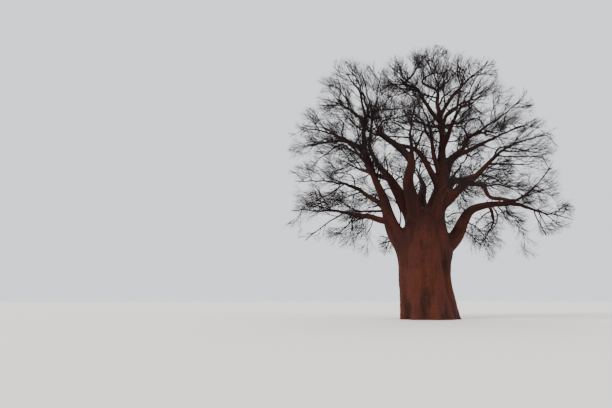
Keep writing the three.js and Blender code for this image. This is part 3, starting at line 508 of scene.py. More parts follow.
def at_height(column, height):
    """Smooth value of one column of the trunk's stations at some heights."""
    heights, values = TRUNK_STATIONS[:, 0], TRUNK_STATIONS[:, column]
    last = len(heights) - 1
    ahead, behind = np.minimum(np.arange(last + 1) + 1, last), np.maximum(np.arange(last + 1) - 1, 0)
    slopes = (values[ahead] - values[behind]) / (heights[ahead] - heights[behind])
    i = np.clip(np.searchsorted(heights, height, side="left") - 1, 0, last - 1)
    span = heights[i + 1] - heights[i]
    s = (height - heights[i]) / span
    return ((1 + 2 * s) * (1 - s) ** 2 * values[i] + s * (1 - s) ** 2 * span * slopes[i]
            + s * s * (3 - 2 * s) * values[i + 1] + s * s * (s - 1) * span * slopes[i + 1])


def trunk_radius(height, bearing):
    """The trunk's radius, with its bulges, furrows and toes, at heights and bearings from +X."""
    top = TRUNK_STATIONS[-1, 0]
    level = np.clip(height, 0, top)
    share = level / top
    swell = np.ones_like(level * bearing)
    for bulge in TRUNK_BULGES:
        turn = np.radians(bulge["turn"] + bulge["twist"] * level)
        swell += bulge["depth"] * np.cos(bulge["count"] * (bearing - turn))
    rise = np.clip((share - FURROW_FADE["start"]) / (1 - FURROW_FADE["start"]), 0, 1)
    fade = 1 - FURROW_FADE["by"] * rise * rise * (3 - 2 * rise)
    for furrow in TRUNK_FURROWS:
        off = bearing - np.radians(mix(furrow["foot"], furrow["top"], share))
        away = np.arctan2(np.sin(off), np.cos(off)) / math.radians(furrow["spread"])
        swell -= furrow["depth"] * fade * np.exp(-away * away)
    round_foot = ROOT_TOES["count"] * (bearing - math.radians(ROOT_TOES["turn"]))
    swell += ROOT_TOES["depth"] * np.exp(-level / ROOT_TOES["height"]) * np.cos(round_foot)
    return at_height(RADIUS, level) * swell


def spaced_points(knees, shares):
    """Points at shares of the length of a smooth curve that runs through the knees, and its length."""
    ends = np.vstack([2 * knees[0] - knees[1], knees, 2 * knees[-1] - knees[-2]])
    gaps = np.linalg.norm(np.diff(ends, axis=0), axis=1) ** 0.5

    def at(t):
        place = t * (len(knees) - 1)
        i = np.minimum(place.astype(int), len(knees) - 2)
        w = (place - i)[:, None]
        a, b, c, d = (ends[i + k] for k in range(4))
        ab, bc, cd = (gaps[i + k][:, None] for k in range(3))
        leave = ((b - a) / ab - (c - a) / (ab + bc) + (c - b) / bc) * bc
        arrive = ((c - b) / bc - (d - b) / (bc + cd) + (d - c) / cd) * bc
        bend = 3 * (c - b) - 2 * leave - arrive
        return b + w * (leave + w * (bend + w * (2 * (b - c) + leave + arrive)))

    t = np.linspace(0, 1, CURVE_SAMPLES)
    walked = np.concatenate([[0], np.cumsum(np.linalg.norm(np.diff(at(t), axis=0), axis=1))])
    return at(np.interp(shares * walked[-1], walked, t)), walked[-1]


@dataclass
class Route:
    """A limb's centreline: its points and radii, once in long straight pieces and once in fine ones."""

    points: np.ndarray
    radii: np.ndarray
    fine_points: np.ndarray
    fine_radii: np.ndarray
    length: float


def route_of(limb, seed, parents):
    """A limb from its root through its knees, with the wander of its own seed."""
    if "root" in limb:
        root = np.array(limb["root"], float)
    else:
        points = parents[limb["on"]].points
        at = limb["share"] * (len(points) - 1)
        i = min(int(at), len(points) - 2)
        root = mix(points[i], points[i + 1], at - i)
    tip = np.array(limb["tip"], float)
    knees = np.vstack([root, limb["knees"], tip])
    aside = unit(np.cross([0.0, 0.0, 1.0], tip - root))
    above = np.cross(unit(tip - root), aside)
    thick, thin = limb["radii"]

    def walk(shares):
        points, length = spaced_points(knees, shares)
        sway = CROOK * length * np.sin(np.pi * shares)
        for way, name in ((aside, "aside"), (above, "above")):
            start = SWAYS["start"] * chance(seed, DRAWS["sway_" + name])
            points += way * (sway * np.sin(SWAYS[name] * shares + start))[:, None]
        return points, thin + (thick - thin) * (1 - shares) ** limb.get("flare", FLARE)

    length = spaced_points(knees, np.array([0.0, 1.0]))[1]
    steps = max(FEWEST_STEPS, math.ceil(length / LONGEST_STEP))
    points, radii = walk(np.linspace(0, 1, steps + 1))
    fine_points, fine_radii = walk(np.linspace(0, 1, steps * FINE_BITS + 1))
    return Route(points, radii, fine_points, fine_radii, length)


@dataclass
class Twigs:
    """Twigs of one kind as arrays. Each has its own number of straight pieces."""

    points: np.ndarray
    radii: np.ndarray
    pieces: np.ndarray
    seeds: np.ndarray
    lengths: np.ndarray
    owners: np.ndarray
    fine: np.ndarray = None
    bits: int = 1

    def along(self, which, share):
        """At a share of some of the twigs: the place on the crooked path, the direction and the radius."""
        at = share * self.pieces[which]
        i = np.minimum(at.astype(int), self.pieces[which] - 1)
        direction = unit(self.points[which, i + 1] - self.points[which, i])
        radius = mix(self.radii[which, i], self.radii[which, i + 1], at - i)
        fine_at = at * self.bits
        k = np.minimum(fine_at.astype(int), self.pieces[which] * self.bits - 1)
        place = mix(self.fine[which, k], self.fine[which, k + 1], (fine_at - k)[:, None])
        return place, direction, radius

    def bend(self, level):
        """Breaks each straight piece into bits that stray a little to the side."""
        self.bits = BENDS["bits"][level]
        fine = []
        for i in range(self.points.shape[1] - 1):
            start, end = self.points[:, i], self.points[:, i + 1]
            size = np.linalg.norm(end - start, axis=1, keepdims=True)
            for bit in range(self.bits):
                off = stray(self.seeds, FIRST_BIT_DRAW + i * self.bits + bit) * BENDS["stray"][level]
                fine.append(mix(start, end, bit / self.bits) + size * off * (bit > 0))
        fine.append(self.points[:, -1])
        self.fine = np.stack(fine, axis=1)


@dataclass
class Spindles:
    """The space of each spray: a spindle from near its stem's root to just past its far end."""

    starts: np.ndarray
    along: np.ndarray
    radii: np.ndarray
    reach: np.ndarray
    middles: np.ndarray
    forward: np.ndarray
    half_lengths: np.ndarray
    spreads: np.ndarray

    def depths(self, points, which):
        """How deep each point lies in its own spindle: 0 at the middle and 1 at the skin."""
        off = points - self.middles[which]
        ahead = (off * self.forward[which]).sum(-1)
        sideways = np.sqrt(np.maximum((off * off).sum(-1) - ahead * ahead, 0))
        return np.hypot(ahead / self.half_lengths[which], sideways / self.spreads[which])


def place_sprays(routes):
    """Where each spray's stem starts and points, and its spindle."""
    starts, along, radii = [], [], []
    ends = np.array([spray["end"] for spray in SPRAYS], float)
    for spray, end in zip(SPRAYS, ends):
        if "root" in spray:
            starts.append(np.array(spray["root"], float))
            along.append(unit(end - starts[-1]))
            radii.append(spray["radius"])
        else:
            route = routes[spray["on"]]
            starts.append(route.points[-1])
            along.append(unit(route.points[-1] - route.points[-2]))
            radii.append(route.radii[-1])
    starts = np.array(starts)
    reach = ends - starts
    lengths = np.linalg.norm(reach, axis=1)
    return Spindles(starts, np.array(along), np.array(radii), reach, starts + reach * SPINDLE_MIDDLE,
                    unit(reach), lengths * SPINDLE_HALF_LENGTH, np.array([s["spread"] for s in SPRAYS]))


def is_free(points, radii, owners, spindles, segments):
    """True where a twig may pass: near its own spray's space, inside the crown and clear of every limb."""
    in_spray = owners < len(SPRAYS)
    free = ~in_spray | (spindles.depths(points, np.where(in_spray, owners, 0)) <= SPILL)
    free &= ((points > CROWN_LOW) & (points < CROWN_HIGH)).all(1)
    starts, lines, thick, thin = segments
    for some in np.array_split(np.flatnonzero(free), 1 + free.sum() // POINTS_AT_ONCE):
        off = points[some, None] - starts
        t = np.clip((off * lines).sum(-1) / (lines * lines).sum(-1), 0, 1)
        distance = np.linalg.norm(off - lines * t[..., None], axis=-1)
        clear = distance >= mix(thick, thin, t) + radii[some, None] + FREE_WAY
        free[some] = clear.all(1)
    return free


def grow_twigs(start, heading, lengths, root_radii, level, seeds, owners, space):
    """Twigs grown piece by piece, until each has its length or is stopped. Short ones are dropped."""
    pieces = GROWTH["pieces"][level]
    points = [start]
    direction = heading
    growing = np.ones(len(start), bool)
    reached = np.zeros(len(start), int)
    for piece in range(pieces):
        outward = unit(points[-1] - CROWN_HEART)
        direction = direction + outward * GROWTH["pull"][level] / pieces
        direction = unit(direction + stray(seeds, piece) * 2 * GROWTH["crook"][level])
        ahead = points[-1] + direction * (lengths / pieces)[:, None]
        growing &= is_free(ahead, root_radii, owners, *space)
        reached += growing
        points.append(np.where(growing[:, None], ahead, points[-1]))
    kept = reached >= max(1, GROWTH["shortest"] * pieces)
    share = np.minimum(np.arange(pieces + 1) / np.maximum(reached, 1)[:, None], 1)
    radii = root_radii[:, None] * mix(1, GROWTH["thinning"][level], share)
    twigs = Twigs(np.stack(points, axis=1)[kept], radii[kept], reached[kept], seeds[kept],
                  (lengths * reached / pieces)[kept], owners[kept])
    twigs.bend(level)
    return twigs


def bear_twigs(bearers, level, space):
    """The twigs that each bearer grows, spaced by the golden share and turned by the golden angle."""
    count = GROWTH["bears"][level - 1]
    which = np.repeat(np.arange(len(bearers.seeds)), count)
    i = np.tile(np.arange(count), len(bearers.seeds))
    seeds = (bearers.seeds[which] * SEEDS["per_bearer"] + (i + 1) * SEEDS["per_twig"]) % SEEDS["most"]
    kept_share = np.minimum(bearers.lengths[which] / GROWTH["full_length"][level - 1], 1)
    if level in THINNED_LEVELS:
        kept_share = kept_share * FULLNESS[bearers.owners[which]]
    some = chance(seeds, DRAWS["stays"]) < kept_share
    which, i, seeds = which[some], i[some], seeds[some]
    place = ((i + 1) * GOLDEN_SHARE + chance(bearers.seeds[which], DRAWS["place"])) % 1
    share = mix(GROWTH["first_share"], GROWTH["last_share"], place)
    return bear_at(bearers, which, share, i, seeds, level, space)


def bear_at(bearers, which, share, i, seeds, level, space, lengths=None):
    """Twigs at given shares of their bearers, each turned from it by the angle of its level."""
    start, along, bearer_radius = bearers.along(which, share)
    aside = unit(np.cross([0.0, 0.0, 1.0], along))
    turn = i * GOLDEN_ANGLE + GROWTH["turn_range"] * chance(seeds, DRAWS["turn"])
    aside = turned(aside, along, np.radians(turn))
    angle = GROWTH["angle"][level - 1] + GROWTH["angle_range"] * (chance(seeds, DRAWS["angle"]) - 0.5)
    angle = np.radians(angle)[:, None]
    heading = along * np.cos(angle) + aside * np.sin(angle)
    if lengths is None:
        longer = mix(GROWTH["length_at_root"], GROWTH["length_at_tip"], share)
        lengths = bearers.lengths[which] * GROWTH["length"][level - 1] * longer
    radii = np.clip(GROWTH["slimness"][level - 1] * bearer_radius, GROWTH["thinnest"][level],
                    GROWTH["thickest"][level])
    return grow_twigs(start, heading, lengths, radii, level, seeds, bearers.owners[which], space)


def grow_stems(spindles):
    """The stem of each spray, from its bough's tip to near the far end."""
    pieces = GROWTH["pieces"][0]
    seeds = (np.arange(len(SPRAYS)) + 1) * SEEDS["per_spray"]
    points = [spindles.starts]
    direction = spindles.along
    target = spindles.starts + spindles.reach * STEM_END
    for piece in range(pieces):
        to_target = target - points[-1]
        step = np.linalg.norm(to_target, axis=1, keepdims=True) / (pieces - piece)
        if piece > 0:
            direction = mix(direction, unit(to_target), STEM_TURN + (1 - STEM_TURN) * piece / pieces)
            direction = unit(direction + stray(seeds, piece) * GROWTH["crook"][0])
        points.append(points[-1] + direction * step * (1 if piece > 0 else FIRST_PIECE))
    tip_radius = GROWTH["thickest"][0] * GROWTH["thinning"][0]
    left = (1 - np.arange(pieces + 1) / pieces) ** STEM_TAPER
    radii = mix(tip_radius, spindles.radii[:, None], left)
    count = np.full(len(SPRAYS), pieces)
    lengths = np.linalg.norm(spindles.reach, axis=1)
    stems = Twigs(np.stack(points, axis=1), radii, count, seeds, lengths, np.arange(len(SPRAYS)))
    stems.bend(0)
    return stems


def grow_branches(boughs, routes, rule, space):
    """Branches along some boughs, by one of the two rules, where the boughs are thin enough to bear them."""
    own_routes = [routes[bough["name"]] for bough in boughs]
    owners = np.array([TWIG_BEARERS.index(bough) for bough in boughs])
    most_points = max(len(route.points) for route in own_routes)
    points, radii, which, shares, order = [], [], [], [], []
    for k, (bough, route) in enumerate(zip(boughs, own_routes)):
        spare = most_points - len(route.points)
        points.append(np.pad(route.points, ((0, spare), (0, 0)), "edge"))
        radii.append(np.pad(route.radii, (0, spare), "edge"))
        first = rule["from_trunk" if bough["on"] == "trunk" else "from_bough"]
        count = round(route.length * (1 - first) / rule["spacing"] * FULLNESS[owners[k]])
        for i in range(count):
            share = mix(first, GROWTH["last_share"], ((i + 1) * GOLDEN_SHARE) % 1)
            if np.interp(share, np.linspace(0, 1, len(route.radii)), route.radii) < rule["thickest_bearer"]:
                which.append(k)
                shares.append(share)
                order.append(i)
    which, shares, order = np.array(which), np.array(shares), np.array(order)
    seeds = rule["first_seed"] + np.arange(len(boughs)) * SEEDS["per_spray"]
    pieces = np.array([len(route.points) - 1 for route in own_routes])
    own_lengths = np.array([route.length for route in own_routes])
    bearers = Twigs(np.stack(points), np.stack(radii), pieces, seeds, own_lengths, owners)
    bearers.fine = bearers.points
    twig_seeds = (seeds[which] * SEEDS["per_bearer"] + (order + 1) * SEEDS["per_twig"]) % SEEDS["most"]
    lengths = mix(*rule["lengths"], chance(twig_seeds, DRAWS["length"]))
    return bear_at(bearers, which, shares, order, twig_seeds, rule["level"], space, lengths)


def together(*kinds):
    """Twigs of one level from several bearers, as one."""
    whole = Twigs(*(np.concatenate([getattr(kind, field) for kind in kinds])
                    for field in ("points", "radii", "pieces", "seeds", "lengths", "owners", "fine")))
    whole.bits = kinds[0].bits
    return whole


def add_node(tree, kind, settings=None, inputs=None):
    """A node with its settings, and each input socket given a value or a link from another node."""
    node = tree.nodes.new(kind)
    for name, value in (settings or {}).items():
        setattr(node, name, value)
    for socket, value in (inputs or {}).items():
        if isinstance(value, bpy.types.Node):
            value = value.outputs[0]
        if isinstance(value, bpy.types.NodeSocket):
            tree.links.new(value, node.inputs[socket])
        else:
            node.inputs[socket].default_value = value
    return node


def shape_tree(name, sizes):
    """A Geometry Nodes tree with named inputs for its sizes and its bark, and the node that holds them."""
    tree = bpy.data.node_groups.new(name, "GeometryNodeTree")
    tree.interface.new_socket("Geometry", in_out="INPUT", socket_type="NodeSocketGeometry")
    tree.interface.new_socket("Geometry", in_out="OUTPUT", socket_type="NodeSocketGeometry")
    for size, value in sizes.items():
        kind = "NodeSocketInt" if isinstance(value, int) else "NodeSocketFloat"
        tree.interface.new_socket(size, in_out="INPUT", socket_type=kind).default_value = value
    tree.interface.new_socket("Bark", in_out="INPUT", socket_type="NodeSocketMaterial")
    return tree, add_node(tree, "NodeGroupInput")


def end_shape_tree(tree, entry, geometry):
    """Ends a tree: its shape is made real and takes its bark."""
    real = add_node(tree, "GeometryNodeRealizeInstances", inputs={"Geometry": geometry})
    barked = add_node(tree, "GeometryNodeSetMaterial",
                      inputs={"Geometry": real, "Material": entry.outputs["Bark"]})
    add_node(tree, "NodeGroupOutput", inputs={"Geometry": barked})


def shaped(mesh, tree, bark, **sizes):
    """The plain mesh that a Geometry Nodes tree makes of another mesh."""
    rough = bpy.data.objects.new("rough_" + mesh.name, mesh)
    bpy.context.scene.collection.objects.link(rough)
    modifier = rough.modifiers.new("shape", "NODES")
    modifier.node_group = tree
    identifiers = {item.name: item.identifier
                   for item in tree.interface.items_tree if item.in_out == "INPUT"}
    modifier[identifiers["Bark"]] = bark
    for size, value in sizes.items():
        modifier[identifiers[size]] = value
    return evaluated(rough)


def evaluated(rough):
    """The mesh of an object with its modifiers applied. The object itself is removed."""
    depsgraph = bpy.context.evaluated_depsgraph_get()
    mesh = bpy.data.meshes.new_from_object(rough.evaluated_get(depsgraph), depsgraph=depsgraph)
    source = rough.data
    bpy.data.objects.remove(rough)
    bpy.data.meshes.remove(source)
    return mesh


def rod_tree():
    """Rounds a rod over each chain of edges, with its girth as the radius, and with closed ends."""
    tree, entry = shape_tree("round_rods", {"Sides": LIMB_SIDES})
    girth = add_node(tree, "GeometryNodeInputNamedAttribute", {"data_type": "FLOAT"}, {"Name": "girth"})
    chains = add_node(tree, "GeometryNodeMeshToCurve", inputs={"Mesh": entry.outputs["Geometry"]})
    section = add_node(tree, "GeometryNodeCurvePrimitiveCircle",
                       inputs={"Resolution": entry.outputs["Sides"], "Radius": 1.0})
    rods = add_node(tree, "GeometryNodeCurveToMesh",
                    inputs={"Curve": chains, "Profile Curve": section, "Scale": girth, "Fill Caps": True})
    smooth = add_node(tree, "GeometryNodeSetShadeSmooth", inputs={"Geometry": rods})
    end_shape_tree(tree, entry, smooth)
    return tree


def chains_mesh(name, chains):
    """A mesh of bare edges: one chain for each path, with its radii as the girth of its points."""
    lengths = np.array([len(points) for points, _ in chains])
    mesh = bpy.data.meshes.new(name)
    first = np.concatenate([[0], np.cumsum(lengths)[:-1]])
    inner = np.ones(lengths.sum(), bool)
    inner[first] = False
    ends = np.flatnonzero(inner)
    mesh.vertices.add(lengths.sum())
    mesh.vertices.foreach_set("co", np.concatenate([c[0] for c in chains]).astype(np.float32).ravel())
    mesh.edges.add(len(ends))
    mesh.edges.foreach_set("vertices", np.stack([ends - 1, ends], axis=1).astype(np.int32).ravel())
    girth = mesh.attributes.new("girth", "FLOAT", "POINT")
    girth.data.foreach_set("value", np.concatenate([c[1] for c in chains]).astype(np.float32))
    mesh.update()
    return mesh


def twig_chains(twigs, some):
    """The crooked paths of some twigs, each with the radii of its points."""
    share = np.arange(twigs.fine.shape[1]) / twigs.bits
    chains = []
    for k in np.flatnonzero(some):
        places = twigs.pieces[k] * twigs.bits + 1
        radii = np.interp(share[:places], np.arange(twigs.radii.shape[1]), twigs.radii[k])
        chains.append((twigs.fine[k, :places], radii))
    return chains


def trunk_column():
    """The trunk as a closed column of rings, which runs on a little below the ground."""
    top = TRUNK_STATIONS[-1, 0]
    heights = np.concatenate([[-BELOW_GROUND], np.arange(0, top, RING_STEP), [top]])
    bearings = np.radians(np.arange(0, 360, BEARING_STEP))
    level = np.clip(heights, 0, top)[:, None]
    radius = trunk_radius(level, bearings[None])
    x = at_height(RIGHT, level) + radius * np.cos(bearings)
    y = at_height(BACK, level) + radius * np.sin(bearings)
    points = np.stack([x, y, np.broadcast_to(heights[:, None], x.shape)], axis=-1).reshape(-1, 3)
    n = len(bearings)
    faces = [(r * n + k, r * n + (k + 1) % n, (r + 1) * n + (k + 1) % n, (r + 1) * n + k)
             for r in range(len(heights) - 1) for k in range(n)]
    faces.append(tuple(range(n))[::-1])
    faces.append(tuple(range((len(heights) - 1) * n, len(heights) * n)))
    mesh = bpy.data.meshes.new("trunk_column")
    mesh.from_pydata(points.tolist(), [], faces)
    return mesh


def trunk_field(points):
    """For each point: its distance from the trunk's skin, the way out, the radius there and its grain."""
    level = np.clip(points[:, 2], 0, TRUNK_STATIONS[-1, 0])
    off = points[:, :2] - np.stack([at_height(RIGHT, level), at_height(BACK, level)], axis=-1)
    bearing = np.arctan2(off[:, 1], off[:, 0])
    radius = trunk_radius(level, bearing)
    above, below = trunk_radius(level + SLOPE_STEP, bearing), trunk_radius(level - SLOPE_STEP, bearing)
    slope = (above - below) / (2 * SLOPE_STEP)
    steep = np.hypot(1, slope)
    side = (np.hypot(off[:, 0], off[:, 1]) - radius) / steep
    over = points[:, 2] - TRUNK_STATIONS[-1, 0]
    out = np.stack([np.cos(bearing), np.sin(bearing), -slope], axis=-1) / steep[:, None]
    lid = over > side
    out[lid] = (0, 0, 1)
    return np.where(lid, over, side), out, radius, points.copy()


def limb_field(points, route, order):
    """The same for a limb. Its grain runs along it, and is measured from its root."""
    starts, ends = route.fine_points[:-1], route.fine_points[1:]
    lines = ends - starts
    sizes = np.linalg.norm(lines, axis=1)
    off = points[:, None] - starts
    t = np.clip((off * lines).sum(-1) / sizes ** 2, 0, 1)
    away = off - lines * t[..., None]
    distance = np.linalg.norm(away, axis=-1)
    girth = mix(route.fine_radii[:-1], route.fine_radii[1:], t)
    gap = distance - girth
    k = gap.argmin(1)
    row = np.arange(len(points))
    walked = np.concatenate([[0], np.cumsum(sizes)])
    around = away[row, k]
    across = unit(np.cross([0.0, 0.0, 1.0], lines[k]))
    above = unit(np.cross(lines[k], across))
    grain = np.stack([(around * across).sum(-1) + order * GRAIN_SHIFT, (around * above).sum(-1),
                      walked[k] + t[row, k] * sizes[k]], axis=-1)
    return gap[row, k], unit(around), girth[row, k], grain


def skin_field(points, routes):
    """The blended skin of the trunk and all its limbs: distance, way out, girth, grain and crease. The
    crease is 1 in the middle of a crotch, where a limb melts into what bears it, and 0 on open bark."""
    distance, out, girth, grain = trunk_field(points)
    crease = np.zeros(len(points))
    for order, route in enumerate(routes.values(), 1):
        reach = route.fine_radii.max() * (1 + MELT) + FIELD_MARGIN
        low, high = route.fine_points.min(0) - reach, route.fine_points.max(0) + reach
        near = np.flatnonzero(((points > low) & (points < high)).all(1))
        gap, way, thick, along = limb_field(points[near], route, order)
        melt = thick * MELT
        # The limb's own share of the blend: 1 on open limb, and 0 where what bears it rules
        h = np.clip(0.5 + 0.5 * (distance[near] - gap) / melt, 0, 1)
        distance[near] = mix(distance[near], gap, h) - melt * h * (1 - h)
        out[near] = unit(mix(out[near], way, h[:, None]))
        crease[near] = np.maximum(crease[near] * (1 - h), 4 * h * (1 - h))
        girth[near] = mix(girth[near], thick, h)
        taken = near[h > 0.5]
        grain[taken] = along[h > 0.5]
    return distance, out, girth, grain, crease


def raw_skin(routes, tubes):
    """One closed skin over the trunk and the limbs, melted together in the crotches."""
    chains = [(route.fine_points, route.fine_radii) for route in routes.values()]
    column = trunk_column()
    rods = shaped(chains_mesh("limb_rods", chains), tubes, None, Sides=LIMB_SIDES)
    both = bmesh.new()
    both.from_mesh(column)
    both.from_mesh(rods)
    mesh = bpy.data.meshes.new("raw_skin")
    both.to_mesh(mesh)
    both.free()
    rough = bpy.data.objects.new("raw_skin", mesh)
    bpy.context.scene.collection.objects.link(rough)
    modifier = rough.modifiers.new("one_skin", "REMESH")
    modifier.mode = "VOXEL"
    modifier.voxel_size = SKIN_VOXEL
    skin = evaluated(rough)
    points = np.zeros(len(skin.vertices) * 3, np.float32)
    skin.vertices.foreach_get("co", points)
    points = points.reshape(-1, 3).astype(float)
    for _ in range(MELT_ROUNDS):
        distance, out = skin_field(points, routes)[:2]
        points -= out * np.clip(distance, -LONGEST_MELT, LONGEST_MELT)[:, None]
    _, _, girth, grain, crease = skin_field(points, routes)
    skin.vertices.foreach_set("co", points.astype(np.float32).ravel())
    for name, kind, values in (("girth", "FLOAT", girth), ("crease", "FLOAT", crease),
                               ("grain", "FLOAT_VECTOR", grain)):
        layer = skin.attributes.new(name, kind, "POINT")
        field = "vector" if kind == "FLOAT_VECTOR" else "value"
        layer.data.foreach_set(field, values.astype(np.float32).ravel())
    skin.update()
    return skin


def relief_tree():
    """The bark's own relief: folds and flutes along the grain, ring wrinkles across it, and knots."""
    tree, entry = shape_tree("bark_relief", RELIEF_SIZES)
    place = add_node(tree, "GeometryNodeInputPosition")
    stored = {}
    for name, kind in (("girth", "FLOAT"), ("crease", "FLOAT"), ("grain", "FLOAT_VECTOR")):
        stored[name] = add_node(tree, "GeometryNodeInputNamedAttribute", {"data_type": kind}, {"Name": name})
    open_bark = add_node(tree, "ShaderNodeMath", {"operation": "SUBTRACT"}, {0: 1.0, 1: stored["crease"]})

    heights = []
    for size, height, closeness, detail in RELIEF_WAVES:
        vector = add_node(tree, "ShaderNodeVectorMath", {"operation": "MULTIPLY"},
                          {0: stored["grain"], 1: closeness})
        scale = add_node(tree, "ShaderNodeMath", {"operation": "DIVIDE"}, {0: 1.0, 1: entry.outputs[size]})
        noise = add_node(tree, "ShaderNodeTexNoise",
                         inputs={"Vector": vector, "Scale": scale, "Detail": detail})
        level = add_node(tree, "ShaderNodeMath", {"operation": "SUBTRACT"}, {0: noise, 1: NOISE_MIDDLE})
        tall = add_node(tree, "ShaderNodeMath", {"operation": "MULTIPLY"},
                        {0: level, 1: entry.outputs[height]})
        heights.append(add_node(tree, "ShaderNodeMath", {"operation": "MULTIPLY"}, {0: tall, 1: open_bark}))

    knot_scale = add_node(tree, "ShaderNodeMath", {"operation": "DIVIDE"},
                          {0: 1.0, 1: entry.outputs["Knot spacing"]})
    cells = add_node(tree, "ShaderNodeTexVoronoi", inputs={"Vector": place, "Scale": knot_scale})
    knots = add_node(tree, "ShaderNodeMapRange", {"interpolation_type": "SMOOTHERSTEP"},
                     {"Value": cells, "From Min": 0.0, "From Max": KNOT_REACH, "To Min": 1.0, "To Max": 0.0})
    heights.append(add_node(tree, "ShaderNodeMath", {"operation": "MULTIPLY"},
                            {0: knots, 1: entry.outputs["Knot height"]}))

    relief = heights[0]
    for height in heights[1:]:
        relief = add_node(tree, "ShaderNodeMath", {"operation": "ADD"}, {0: relief, 1: height})
    kept = add_node(tree, "GeometryNodeStoreNamedAttribute", {"data_type": "FLOAT", "domain": "POINT"},
                    {"Geometry": entry.outputs["Geometry"], "Name": "relief", "Value": relief})
    lift = add_node(tree, "ShaderNodeMath", {"operation": "MULTIPLY"}, {0: relief, 1: stored["girth"]})
    outward = add_node(tree, "GeometryNodeInputNormal")
    offset = add_node(tree, "ShaderNodeVectorMath", {"operation": "SCALE"}, {0: outward, "Scale": lift})
    moved = add_node(tree, "GeometryNodeSetPosition", inputs={"Geometry": kept, "Offset": offset.outputs[0]})
    smooth = add_node(tree, "GeometryNodeSetShadeSmooth", inputs={"Geometry": moved})
    end_shape_tree(tree, entry, smooth)
    return tree


def cut_piece(skin, name, low, high, bark):
    """The part of the skin between two heights, closed with flat caps and shaded as the whole skin is. A
    height of None leaves that end as it is."""
    cutter = bmesh.new()
    cutter.from_mesh(skin)
    for height, keep_above in ((low, True), (high, False)):
        if height is None:
            continue
        everything = cutter.verts[:] + cutter.edges[:] + cutter.faces[:]
        bmesh.ops.bisect_plane(cutter, geom=everything, plane_co=(0, 0, height), plane_no=(0, 0, 1),
                               clear_inner=keep_above, clear_outer=not keep_above)
        rims = [edge for edge in cutter.edges if edge.is_boundary]
        bmesh.ops.holes_fill(cutter, edges=rims, sides=0)
    mesh = bpy.data.meshes.new(name)
    cutter.to_mesh(mesh)
    cutter.free()
    corners = np.zeros(len(mesh.loops), np.int32)
    mesh.loops.foreach_get("vertex_index", corners)
    whole = np.zeros(len(mesh.vertices) * 3, np.float32)
    mesh.attributes["whole_normal"].data.foreach_get("vector", whole)
    normals = unit(whole.reshape(-1, 3))[corners]
    # A face of more than four corners is a cap, or a sliver beside one, and is shaded flat
    for face in mesh.polygons:
        if face.loop_total > 4:
            normals[face.loop_start:face.loop_start + face.loop_total] = face.normal
    mesh.normals_split_custom_set(normals)
    mesh.attributes.remove(mesh.attributes["whole_normal"])
    mesh.materials.append(bark)
    return mesh


def linear(colour):
    """An sRGB colour such as "461d0e" as linear red, green, blue and alpha, by the standard's own curve."""
    channels = [int(colour[i:i + 2], 16) / 255 for i in (0, 2, 4)]
    return [c / 12.92 if c <= 0.04045 else ((c + 0.055) / 1.055) ** 2.4 for c in channels] + [1.0]


def living_bark():
    """Living baobab bark: a thin, smooth, waxy skin over wet fibre. It folds like hide, with warm brown and
    mauve patches, shade painted dark into the creases between the folds, and a dull sheen on the ridges."""
    bark = bpy.data.materials.new("living_bark")
    bark.use_nodes = True
    tree = bark.node_tree
    shader = tree.nodes["Principled BSDF"]
    place = add_node(tree, "ShaderNodeTexCoord").outputs["Object"]
    grain = add_node(tree, "ShaderNodeAttribute", {"attribute_name": "grain"}).outputs["Vector"]

    noises = {}
    for pattern, noise in BARK_NOISES.items():
        vector = place
        if pattern in BARK_STRETCHES:
            stretch = {"Vector": grain, "Scale": BARK_STRETCHES[pattern]}
            vector = add_node(tree, "ShaderNodeMapping", inputs=stretch)
        noises[pattern] = add_node(tree, "ShaderNodeTexNoise", inputs={"Vector": vector, **noise})

    # Colour: patches, mottling and streaks, then painted shade in the hollows and crotches, and darker bark
    # higher up
    covers = dict(noises)
    covers["painted_shade_in_hollows"] = add_node(tree, "ShaderNodeAttribute", {"attribute_name": "relief"}).outputs["Fac"]
    covers["painted_shade_in_crotches"] = add_node(tree, "ShaderNodeAttribute", {"attribute_name": "crease"}).outputs["Fac"]
    covers["darker_above"] = add_node(tree, "ShaderNodeSeparateXYZ", inputs={"Vector": place}).outputs["Z"]
    colour = linear(BARK_BROWN)
    for layer, (start, full, most, tint) in BARK_LAYERS.items():
        share = add_node(tree, "ShaderNodeMapRange", inputs={
            "Value": covers[layer], "From Min": start, "From Max": full, "To Max": most})
        colour = add_node(tree, "ShaderNodeMix", {"data_type": "RGBA"},
                          {0: share, 6: colour, 7: linear(tint)}).outputs[2]
    tree.links.new(colour, shader.inputs["Base Color"])

    # Ring wrinkles and pores, and a skin that is duller where it is mottled
    skin = add_node(tree, "ShaderNodeMath", {"operation": "MULTIPLY_ADD"},
                    {0: noises["pores"], 1: PORE_SHARE, 2: noises["wrinkles"]})
    bump = add_node(tree, "ShaderNodeBump", inputs={"Height": skin, **BARK_BUMP})
    tree.links.new(bump.outputs["Normal"], shader.inputs["Normal"])
    rough = add_node(tree, "ShaderNodeMapRange", inputs={"Value": noises["mottle"], **BARK_ROUGHNESS})
    tree.links.new(rough.outputs["Result"], shader.inputs["Roughness"])
    shader.inputs["IOR"].default_value = BARK_IOR
    shader.inputs["Specular IOR Level"].default_value = BARK_GLOSS
    return bark


def twig_bark(name, colour):
    """Dry young bark on thin wood: dull and nearly plain, so one colour and no gloss."""
    bark = bpy.data.materials.new(name)
    bark.use_nodes = True
    shader = bark.node_tree.nodes["Principled BSDF"]
    shader.inputs["Base Color"].default_value = linear(colour)
    shader.inputs["Roughness"].default_value = TWIG_ROUGHNESS
    shader.inputs["IOR"].default_value = BARK_IOR
    shader.inputs["Specular IOR Level"].default_value = BARK_GLOSS
    return bark


